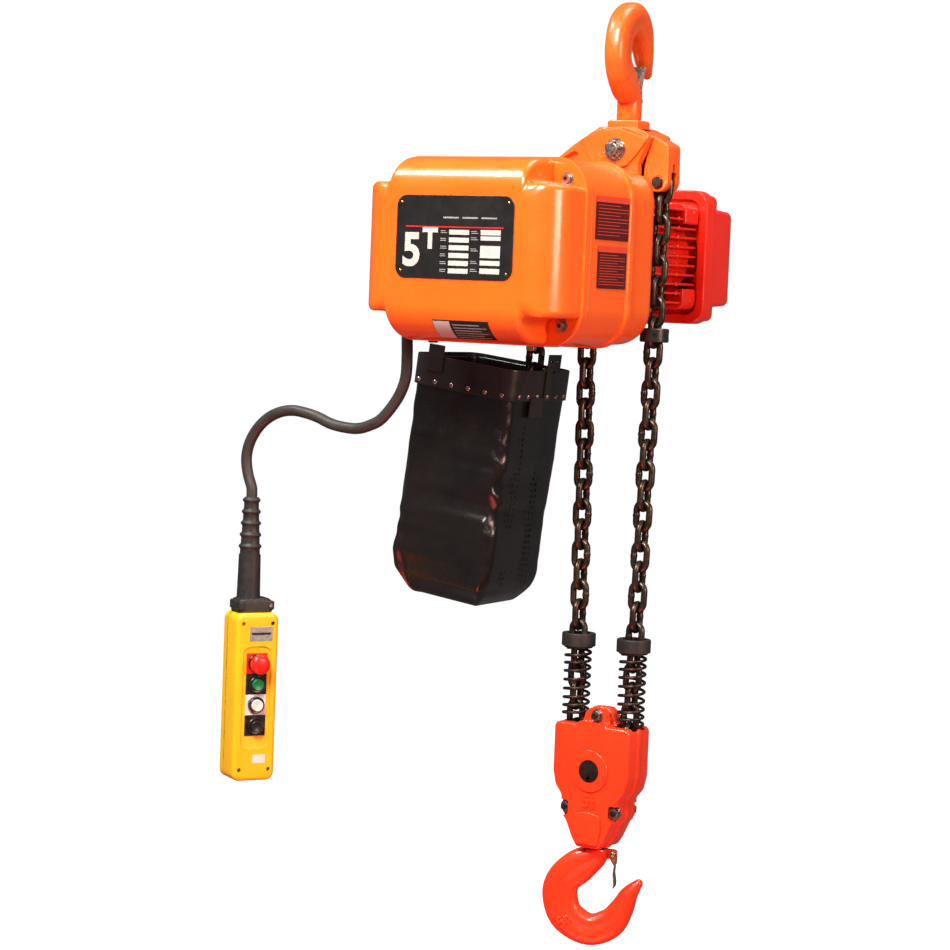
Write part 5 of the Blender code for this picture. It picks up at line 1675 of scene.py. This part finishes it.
# ---- hook block ---------------------------------------------------------
@dataclass
class HookBlock:
    """Two cast cheeks bolted round the chain sheave."""

    half: float = 0.036
    bolts: tuple[Point, ...] = ((0.0, -1.1390), (-0.0475, -1.2975), (0.0475, -1.2975))

    def build(self) -> None:
        """Make both cheeks, the axle and the bolts."""
        self._cheek("front", -1)
        self._cheek("back", 1)
        self._axle()
        self._bolts()

    def _outline(self) -> list[Point]:
        """Outline of a cheek: shoulders, round waist, bolt lugs and a throat for the hook."""
        right = [(0.0225, -1.3640, 0.009), (0.0330, -1.3480, 0.016), (0.0460, -1.3200, 0.014),
                 (0.0580, -1.3080, 0.009), (0.0580, -1.2900, 0.009), (0.0560, -1.2790, 0.006),
                 (0.0690, -1.2620, 0.020), (0.0745, -1.2380, 0.030), (0.0745, -1.1520, 0.011),
                 (0.0290, -1.1520, 0.004), (0.0235, -1.1330, 0.012), (0.0125, -1.1245, 0.012)]
        left = [(-x, z, r) for x, z, r in reversed(right)]
        return filleted(right + left, 5)

    def _cheek(self, name: str, side: int) -> None:
        """Cast one cheek: raised body, rims at the parting line, boss, pad and recesses.

        Args:
            name: which cheek.
            side: -1 in front, 1 behind.
        """
        outline = self._outline()
        face, origin = side * self.half, Vector()
        rings = [ring_at(shrunk(outline, 0.0005), side * 0.0003),
                 ring_at(outline, side * 0.0008), ring_at(outline, side * 0.0052),
                 ring_at(shrunk(outline, 0.0010), side * 0.0064)]
        rings = [[p - Vector((DRIVE.x, 0, DRIVE.z)) for p in ring] for ring in rings]
        rings += softened(shrunk(outline, 0.0018), face, side * 0.0070, 0.0048, origin)
        cheek = Blank.sweep(f"block_cheek_{name}", rings)
        self._recess(cheek, side)
        self._raise(cheek, side)
        cheek.cut(Blank.rod("chamber", 0.0705, (-0.0198, 0.0198), BLOCK_AXLE, Axis.Y, 56))
        for across in (-1, 1):
            xs = sorted((across * 0.0310, across * 0.0712))
            cheek.cut(Blank.cube("slot", (xs[0], -0.0198, BLOCK_AXLE.z), (xs[1], 0.0198, -1.10)))
        cheek.cut(Blank.rod("bore", 0.0193, (-0.06, 0.06), BLOCK_AXLE, Axis.Y, 48))
        cheek.cut(Blank.rod("throat", 0.0118, (-1.40, -1.32), (0, 0, 0)))
        cheek.cut(Blank.rod("nut_room", 0.0172, (-1.3280, -1.3060), (0, 0, 0)))
        for x, z in self.bolts:
            cheek.cut(Blank.rod("hole", 0.0053, (-0.06, 0.06), (x, 0, z), Axis.Y, 24))
        if side < 0:
            seat = Matrix.Translation((0, -self.half, -1.2835)) @ FACING
            cheek.gather([Blank.letters("capacity", "5t", 0.030, 0.0011, seat, 0.0009)])
        cheek.done("block", "block_paint", BLOCK_PAINT, [f"block_{name}_half"], 40, False)

    def _recess(self, cheek: Blank, side: int) -> None:
        """Cut the stepped seats of the bolts."""
        for across in (-1, 1):
            seat = filleted([(across * 0.0385, -1.2850, 0.006), (across * 0.0700, -1.2850, 0.002),
                             (across * 0.0700, -1.3130, 0.002), (across * 0.0385, -1.3130, 0.010)])
            cheek.cut(Blank.slab("seat", seat, sorted((side * 0.0250, side * 0.0520)), 0.0022))
        top = filleted([(0.0300, -1.1500, 0.004), (0.0300, -1.1000, 0.002),
                        (-0.0300, -1.1000, 0.002), (-0.0300, -1.1500, 0.004)])
        cheek.cut(Blank.slab("seat", top, sorted((side * 0.0180, side * 0.0520)), 0.0024))

    def _raise(self, cheek: Blank, side: int) -> None:
        """Weld the axle's boss and the pad with its arched top."""
        face = side * (self.half + 0.0030)
        boss = [(0.0357 * cos(tau * n / 64), 0.0357 * sin(tau * n / 64)) for n in range(64)]
        cheek.weld(Blank.sweep("boss", softened(boss, face, side * 0.0340, 0.0016, BLOCK_AXLE)))
        pad = filleted([(0.0225, -1.3560, 0.006), (0.0265, -1.3300, 0.030), (0.0250, -1.3040, 0.006),
                        (0.0, -1.2990, 0.060), (-0.0250, -1.3040, 0.006),
                        (-0.0265, -1.3300, 0.030), (-0.0225, -1.3560, 0.006)])
        cheek.weld(Blank.sweep("pad", softened(pad, side * (self.half + 0.0048), side * 0.0340,
                                               0.0028, Vector())))

    @staticmethod
    def _axle() -> None:
        """Axle with a keyhole notch in its front end."""
        axle = Blank.rod("axle", 0.0190, (-0.0400, 0.0400), BLOCK_AXLE, Axis.Y, 56)
        axle.bevel(0.0010, 2)
        axle.cut(Blank.rod("keyhole", 0.0042, (-0.05, -0.0360), BLOCK_AXLE + Vector((0, 0, -0.0130)),
                           Axis.Y, 28))
        axle.cut(Blank.cube("key", BLOCK_AXLE + Vector((-0.0020, -0.05, -0.0200)),
                            BLOCK_AXLE + Vector((0.0020, -0.0370, -0.0120))))
        axle.done("block", "machined_steel", DARK_STEEL, ["block_axle"])

    def _bolts(self) -> None:
        """Dark studs that end in bright hexagon nuts with washers."""
        for name, (x, z) in zip(("top", "left", "right"), self.bolts):
            depth = 0.0184 if name == "top" else 0.0254
            stud = Blank.rod(f"stud_{name}", 0.0050, (-depth - 0.0098, depth + 0.0090), (x, 0, z),
                             Axis.Y, 28).bevel(0.0008, 2)
            stud.done("block", "machined_steel", DARK_STEEL, [f"block_bolt_{name}"])
            nuts = []
            for side in (-1, 1):
                near, far = side * (depth + 0.0010), side * (depth + 0.0078)
                nut = Blank.rod("hexagon", 0.0092, tuple(sorted((near, far))), (x, 0, z), Axis.Y, 6)
                nuts.append(nut.bevel(0.0011, 2, 50))
                washer = tuple(sorted((side * depth, near)))
                nuts.append(Blank.rod("washer", 0.0108, washer, (x, 0, z), Axis.Y, 32))
            nuts[0].gather(nuts[1:])
            nuts[0].obj.name = f"nuts_{name}"
            nuts[0].done("block", "machined_steel", BARE_STEEL)


# ---- chain bag ----------------------------------------------------------
@dataclass
class ChainBag:
    """Open bag of coated cloth that hangs in a riveted steel band.

    Attributes:
        at: middle of its mouth.
        tilt: how far it leans, in degrees.
        hx: half width.
        hy: half depth.
        depth: how far it hangs.
        wall: thickness of the cloth.
    """

    at: Vector = field(default_factory=lambda: Vector((-0.232, -0.023, -0.560)))
    tilt: float = 6.5
    hx: float = 0.100
    hy: float = 0.094
    depth: float = 0.405
    wall: float = 0.0016

    def build(self) -> None:
        """Sew the bag, then rivet its band."""
        place = Matrix.Translation(self.at) @ Matrix.Rotation(radians(self.tilt), 4, "Y")
        self._cloth(place)
        self._band(place)

    def _cloth(self, place: Matrix) -> None:
        """Loft the cloth with its folds and close its foot."""
        levels = 72
        rings = []
        for n in range(levels + 1):
            share = n / levels
            z = -self.depth * share * 0.985
            rings.append([self._cloth_point(x, y, z, share) for x, y in
                          rounded(self.hx - 0.0016, self.hy - 0.0016, 0.016, 6)])
            rings[-1] = self._evened(rings[-1], 120)
        base = rings[-1]
        middle = sum(base, Vector()) / len(base)
        for share, drop in ((0.93, 0.0040), (0.82, 0.0056), (0.55, 0.0048), (0.25, 0.0040),
                            (0.02, 0.0044)):
            rings.append([middle + (p - middle) * share - Vector((0, 0, drop)) for p in base])
        bag = Blank.sweep("bag_cloth", rings)
        bag.hollow(lambda c, n: n.z > 0.9 and c.z > -0.0060, self.wall)
        bag.modify("SUBSURF", levels=1, render_levels=1)
        bag.moved(place)
        bag.gather(self._seams(place))
        cloth = bag.done("hoist", "bag_vinyl", VINYL, ["chain_bag"], 70, False)

    @staticmethod
    def _evened(ring: Ring, count: int) -> Ring:
        """Space a ring's points evenly along it."""
        spans = [(ring[(i + 1) % len(ring)] - p).length for i, p in enumerate(ring)]
        total, result, index, passed = sum(spans), [], 0, 0.0
        for n in range(count):
            goal = total * n / count
            while passed + spans[index] < goal:
                passed += spans[index]
                index += 1
            share = (goal - passed) / max(spans[index], 1e-9)
            result.append(ring[index].lerp(ring[(index + 1) % len(ring)], share))
        return result

    def _cloth_point(self, x: float, y: float, z: float, share: float) -> Vector:
        """Place one point of the cloth among its folds.

        Args:
            x: across the bag at rest.
            y: along the bag at rest.
            z: height below the mouth.
            share: 0 at the mouth, 1 at the foot.

        Returns:
            The point in the bag's own frame.
        """
        loose = min(1.0, max(0.0, (share - 0.10) / 0.25))
        foot = max(0.0, (share - 0.86) / 0.14)
        around = x / self.hx if abs(y) > self.hy * 0.9 else y / self.hy
        push = -0.0016 * loose
        push += self._front_folds(x, y, z) * loose if y < -self.hy * 0.7 else 0.0
        push += self._side_folds(y, z) * loose if x > self.hx * 0.7 else 0.0
        if y > self.hy * 0.7 or x < -self.hx * 0.7:
            push += 0.0050 * loose * noise.noise(Vector((x * 14, y * 14, z * 6)))
        corner = abs(x) / self.hx * abs(y) / self.hy
        push -= 0.0060 * loose * max(0.0, corner - 0.75) * (1 + noise.noise(
            Vector((3.0, 1.0, z * 11))))
        push += 0.0018 * loose * noise.noise(Vector((x * 38, y * 38, z * 26)))
        push -= foot ** 2.2 * (0.030 + 0.010 * noise.noise(Vector((around * 3, x * 9, 2.0))))
        push = min(push, 0.0042)
        out = Vector((x * abs(x) ** 3 / self.hx ** 4, y * abs(y) ** 3 / self.hy ** 4, 0))
        out = out.normalized() if out.length > 1e-6 else Vector((0, 1, 0))
        sag = -0.006 * foot * (1 - around ** 2)
        return Vector((x, y, z + sag)) + out * push

    @staticmethod
    def _crumple(u: float, v: float, seed: float) -> float:
        """Sharp-edged creases that run every way, between -1 and 1."""
        warp = noise.noise(Vector((u * 2.3, v * 2.9, seed))) * 0.30
        first = 1 - 2 * abs(noise.noise(Vector((u * 2.6 + warp, v * 3.4 + u, seed + 4))))
        second = 1 - 2 * abs(noise.noise(Vector((u * 4.8 - v * 2, v * 6.4 + warp, seed + 9))))
        return 0.62 * first + 0.38 * second - 0.45

    def _front_folds(self, x: float, y: float, z: float) -> float:
        """Relief of the front: a long diagonal crease, upright folds and crumples."""
        u, v = x / self.hx, -z / self.depth
        line = v - (0.62 - 0.20 * u)
        relief = 0.0075 * exp(-(line / 0.050) ** 2) - 0.0110 * exp(-((line - 0.085) / 0.070) ** 2)
        relief *= 0.55 + 0.45 * cos(2.0 * (u - 0.15))
        second = v - (0.30 + 0.24 * u)
        relief += 0.0040 * exp(-(second / 0.035) ** 2) - 0.0045 * exp(-((second - 0.06) / 0.05) ** 2)
        for at, size, deep in ((-0.86, 0.045, 0.0048), (-0.68, 0.05, -0.0050), (-0.50, 0.07, 0.0022)):
            relief += deep * exp(-((u - at + 0.05 * sin(9 * v)) / size) ** 2) * min(1.0, 2 * v)
        near = exp(-((u - 0.80) / 0.20) ** 2)
        relief += near * 0.0110 * self._crumple(u * 1.5, v * 2.6, 0.4)
        low = max(0.0, (v - 0.80) / 0.20)
        relief += low * 0.0080 * noise.noise(Vector((u * 6.5, v * 9, 7.7)))
        relief += 0.0105 * self._crumple(u, v * 1.6, 5.5)
        return relief + 0.0030 * noise.noise(Vector((u * 3.1, v * 4.3, 5.5)))

    def _side_folds(self, y: float, z: float) -> float:
        """Relief of the right side: two upright seams, else nearly smooth."""
        u, v = y / self.hy, -z / self.depth
        relief = -0.0040 * exp(-((u + 0.40) / 0.050) ** 2) - 0.0034 * exp(-((u - 0.30) / 0.050) ** 2)
        relief += 0.0040 * noise.noise(Vector((u * 1.8, v * 3.0, 9.0)))
        near = exp(-((u + 0.88) / 0.18) ** 2)
        return relief + (0.0020 + 0.0040 * near) * self._crumple(u, v * 2.2, 6.2)

    def _seams(self, place: Matrix) -> list[Blank]:
        """Rows of stitches beside the seams of the right side."""
        stitches = []
        for u in (-0.46, -0.34, 0.24, 0.36):
            for n in range(30):
                z = -0.075 - 0.0100 * n
                push = self._side_folds(u * self.hy, z) + self.hx - 0.0006
                low = (push - 0.0008, u * self.hy - 0.0005, z)
                high = (push + 0.0006, u * self.hy + 0.0005, z + 0.0055)
                stitches.append(Blank.cube("stitch", low, high))
        return [stitch.moved(place) for stitch in stitches]

    def _band(self, place: Matrix) -> None:
        """Fold the band round the mouth, with hangers, holes and round rivets."""
        def loop(z: float, grow: float) -> Ring:
            """One rounded rectangle of the band."""
            return [Vector((x, y, z)) for x, y in rounded(self.hx + grow, self.hy + grow,
                                                        0.020 + grow, 8)]
        rings = [loop(z, g) for z, g in ((-0.046, 0.0006), (-0.046, 0.0028), (-0.0452, 0.0035),
                                         (0.0040, 0.0035), (0.0060, 0.0028), (0.0060, 0.0006),
                                         (0.0040, 0.0004))]
        band = Blank.sweep("band", rings, looped=True)
        right = Blank.cube("hanger", (self.hx + 0.0036, 0.004, -0.046), (self.hx + 0.0065, 0.044, 0.034))
        foot = Blank.cube("foot", (self.hx + 0.0036, -0.036, -0.074), (self.hx + 0.0060, 0.004, -0.040))
        left = Blank.cube("hanger", (-0.070, -self.hy - 0.0065, -0.020), (-0.038, -self.hy - 0.0036,
                                                                         0.026))
        for hanger in (right, left):
            hanger.bevel(0.0030, 3, 60)
        for y, z in ((0.014, 0.022), (0.034, 0.022), (0.024, 0.004)):
            right.cut(Blank.rod("hole", 0.0026, (0.09, 0.12), (0, y, z), Axis.X, 20))
        band.gather([right, foot.bevel(0.0020, 2, 60), left])
        band.moved(place).done("hoist", "band_steel", BLACK_PAINT, ["bag_band"])
        rivets = [Blank.dome("rivet", 0.0042, 0.0020, (-0.085 + 0.034 * n, -self.hy - 0.0036, -0.038),
                             Axis.Y) for n in range(6)]
        rivets += [Blank.dome("rivet", 0.0042, 0.0020, (self.hx + 0.0040 + 0.0026 * (n in (3, 4)),
                                                        -0.070 + 0.028 * n, -0.038), Axis.X)
                   for n in range(6)]
        rivets[0].gather(rivets[1:]).moved(place)
        rivets[0].obj.name = "band_rivets"
        rivets[0].done("hoist", "machined_steel", BARE_STEEL)


# ---- pendant control ----------------------------------------------------
@dataclass
class Pendant:
    """Moulded handset: two shells on a seal, legend plates, bezels and four buttons."""

    place: Matrix = field(default_factory=lambda: Matrix.Translation((-0.583, -0.2215, -1.150))
                          @ Matrix.Rotation(radians(60), 4, "Z"))
    hw: float = 0.039
    hh: float = 0.146
    face: float = -0.0340

    def build(self) -> None:
        """Mould the shells, then fit what they carry."""
        self._shells()
        self._neck()
        self._legends()
        self._emergency()
        for name, body, slot, finish, z in (
                ("start_button", "start", "start_green", GREEN_CAP, 0.0230),
                ("up_button", "up", "up_white", WHITE_CAP, -0.0130),
                ("down_button", "down", "down_black", BLACK_CAP, -0.0490)):
            self._button(name, body, slot, finish, z)

    def _shells(self) -> None:
        """Front shell with its sunk panel, the seal and the back shell."""
        outline = rounded(self.hw, self.hh, 0.014, 6)
        centre = Vector()
        front = Blank.sweep("pendant_shell_front", softened(outline, self.face, 0.0080, 0.0070,
                                                            centre))
        panel = filleted([(0.026, -0.084, 0.010), (0.026, 0.082, 0.010), (0.014, 0.0885, 0.020),
                          (-0.014, 0.0885, 0.020), (-0.026, 0.082, 0.010), (-0.026, -0.084, 0.010),
                          (-0.014, -0.0905, 0.020), (0.014, -0.0905, 0.020)])
        front.cut(Blank.slab("panel", panel, (-0.06, self.face + 0.0018), 0.0012))
        for z in (0.0590, 0.0230, -0.0130, -0.0490):
            front.cut(Blank.rod("well", 0.0118, (-0.060, -0.012), (0, 0, z), Axis.Y, 40))
        for sx in (-1, 1):
            for z in (-0.126, 0.128):
                front.cut(Blank.rod("screw_hole", 0.0036, (-0.06, -0.028), (sx * 0.027, 0, z),
                                    Axis.Y, 24))
        front.moved(self.place)
        front.done("hoist", "pendant_yellow", PENDANT_SHELL, ["pendant_front"], 40, False)
        seal = Blank.sweep("pendant_seal_cord", [[Vector((x, y, z)) for x, z in
                                                  shrunk(outline, 0.0016)] for y in (0.0084, 0.0116)])
        seal.bevel(0.0012, 3, 60).moved(self.place).done("hoist", "black_rubber", RUBBER,
                                                         ["pendant_seal"])
        back = Blank.sweep("pendant_shell_back", softened(outline, 0.0320, 0.0120, 0.0070, centre))
        back.moved(self.place).done("hoist", "pendant_yellow", PENDANT_SHELL, ["pendant_back"], 40)

    def _neck(self) -> None:
        """Clamp at the top with side jaws and a small screw."""
        rings = [[Vector((x, y, z)) for x, y in rounded(hx, hy, 0.010, 6)] for z, hx, hy in
                 ((0.1464, 0.0312, 0.0232), (0.1472, 0.0320, 0.0240), (0.1560, 0.0314, 0.0236),
                  (0.1656, 0.0302, 0.0230), (0.1680, 0.0284, 0.0222), (0.1696, 0.0256, 0.0206))]
        neck = Blank.sweep("pendant_clamp", rings)
        jaws = [Blank.cube("jaw", (sx * 0.0270 - 0.006, -0.0250, 0.1500),
                           (sx * 0.0270 + 0.006, 0.0220, 0.1660)).bevel(0.0030, 3)
                for sx in (-1, 1)]
        neck.gather(jaws).moved(self.place)
        neck.done("hoist", "black_rubber", RUBBER, ["pendant_neck"])
        screw = Blank.rod("clamp_screw", 0.0032, (-0.0268, -0.0240), (0.0250, 0, 0.1580), Axis.Y, 24)
        screw.cut(Blank.cube("slot", (0.020, -0.03, 0.1575), (0.030, -0.0258, 0.1585)))
        screw.moved(self.place).done("hoist", "machined_steel", BARE_STEEL)

    def _plate(self, name: str, low: Point, high: Point, finish: Finish, slot: str,
               out: float = 0.0008, back: float = 0.0016) -> None:
        """Lay one flat plate on the front by its lowest and highest corners."""
        start = self.face + back
        plate = Blank.cube(name, (low[0], start - out, low[1]), (high[0], start, high[1]))
        plate.bevel(0.0003, 2).moved(self.place).done("hoist", slot, finish)

    def _legends(self) -> None:
        """Four coloured legend plates, bezels and two blank stickers."""
        for name, low, high, finish, slot in (
                ("legend_stop", 0.0412, 0.0768, RED_INK, "stop_red"),
                ("legend_start", 0.0052, 0.0408, BLACK_CAP, "down_black"),
                ("legend_up", -0.0308, 0.0048, WHITE_CAP, "up_white"),
                ("legend_down", -0.0668, -0.0312, BLACK_CAP, "down_black")):
            at = (low + high) / 2
            plate = Blank.cube(name, (-0.0190, self.face + 0.0006, low), (0.0190, self.face + 0.0018,
                                                                         high)).bevel(0.0004, 2)
            plate.cut(Blank.rod("hole", 0.0118, (-0.06, 0.0), (0, 0, at), Axis.Y, 40))
            plate.moved(self.place).done("hoist", slot, finish)
        for index, z in enumerate((0.0230, -0.0130, -0.0490)):
            bezel = Blank.lathe(f"bezel_{index}", [(0.0112, -0.0400), (0.0132, -0.0404),
                                                   (0.0144, -0.0392), (0.0146, -0.0336),
                                                   (0.0112, -0.0336)], (0, 0, z), Axis.Y, 48, True)
            bezel.moved(self.place).done("hoist", "black_rubber", BLACK_CAP)
        self._plate("pendant_label", (-0.0150, 0.0973), (0.0270, 0.1224), SILVER, "pendant_yellow",
                    0.0004, 0.0001)
        self._plate("pendant_label_line", (-0.0120, 0.1085), (0.0240, 0.1125), BLACK_CAP,
                    "pendant_yellow", 0.0006, 0.0001)
        self._plate("pendant_sticker", (-0.0030, -0.1150), (0.0205, -0.1000), STICKER,
                    "pendant_yellow", 0.0004, 0.0001)

    def _emergency(self) -> None:
        """Mushroom cap with a soft crown and a grip round its edge, on a dark collar."""
        profile = [(0.0100, self.face + 0.0140), (0.0100, self.face - 0.0082),
                   (0.0158, self.face - 0.0086), (0.0170, self.face - 0.0104),
                   (0.0170, self.face - 0.0180), (0.0164, self.face - 0.0206),
                   (0.0140, self.face - 0.0230), (0.0080, self.face - 0.0246),
                   (0.0020, self.face - 0.0250)]
        cap = Blank.lathe("stop_cap", profile, (0, 0, 0.0590), Axis.Y, 72)
        cap.moved(self.place).done("stop", "stop_red", RED_CAP, ["emergency_stop"], 50, False)
        collar = Blank.lathe("stop_collar_ring", [(0.0110, -0.0360), (0.0152, -0.0360),
                                                  (0.0160, -0.0352), (0.0162, -0.0336),
                                                  (0.0110, -0.0336)], (0, 0, 0.0590), Axis.Y, 48,
                             True)
        collar.moved(self.place).done("hoist", "black_rubber", BLACK_CAP)

    def _button(self, name: str, body: str, slot: str, finish: Finish, z: float) -> None:
        """Round push button with a dished face."""
        profile = [(0.0100, self.face + 0.0140), (0.0100, self.face - 0.0100),
                   (0.0092, self.face - 0.0110), (0.0078, self.face - 0.0108),
                   (0.0040, self.face - 0.0099), (0.0006, self.face - 0.0096)]
        cap = Blank.lathe(name + "_cap", profile, (0, 0, z), Axis.Y, 48)
        cap.moved(self.place).done(body, slot, finish, [name], 40, False)


# ---- what keeps its plain shape ----------------------------------------
@dataclass
class InnerWorks:
    """Solids that keep their own shape and only get a surface."""

    finishes: dict[str, tuple[Finish, str]] = field(default_factory=lambda: {
        "cover_gasket": (GASKET, "gasket_rubber"), "cable_gland": (RUBBER, "black_rubber"),
        "limit_lever": (BARE_STEEL, "machined_steel"),
        "load_sheave": (BARE_STEEL, "machined_steel"),
        "load_gear": (BARE_STEEL, "machined_steel"),
        "countershaft": (BARE_STEEL, "machined_steel"),
        "rotor_shaft": (BARE_STEEL, "machined_steel"),
        "brake_disc": (BARE_STEEL, "machined_steel"), "motor_fan": (RUBBER, "black_rubber"),
        "stator": (COPPER, "stator_winding"), "contactor": (BLACK_CAP, "black_rubber"),
        "block_sheave": (BARE_STEEL, "machined_steel"),
        "top_hook_nut": (BARE_STEEL, "machined_steel"),
        "bottom_hook_nut": (BARE_STEEL, "machined_steel")})

    def build(self) -> None:
        """Give each solid its material."""
        for name, (finish, slot) in self.finishes.items():
            node = frame["nodes"][name]
            node.data.materials.clear()
            node.data.materials.append(finish.material())


def main() -> None:
    """Build the studio, then every sub-assembly in turn."""
    logging.basicConfig(level=logging.INFO, format="%(name)s: %(message)s")
    top = Hook("top_hook", "top_hook", "hook_paint", -0.030, 99, -1, 0.1130, 0.0315, CAST_PAINT,
               "top_latch", PALE_ZINC)
    low = Hook("bottom_hook", "lower_hook", "lower_hook_paint", -1.453, 20, 1, 0.0860, 0.0560,
               HOOK_PAINT, "lower_latch", YELLOW_ZINC, mark="5t")
    assemblies = [Studio(), PendantCable(), top, Suspension(), HoistBody(), Plates(), Motor(),
                  Chain(), FallFittings(), HookBlock(), low, ChainBag(), Pendant(), InnerWorks()]
    for assembly in assemblies:
        LOG.info("building %s", type(assembly).__name__)
        assembly.build()


if __name__ == "__main__":
    main()
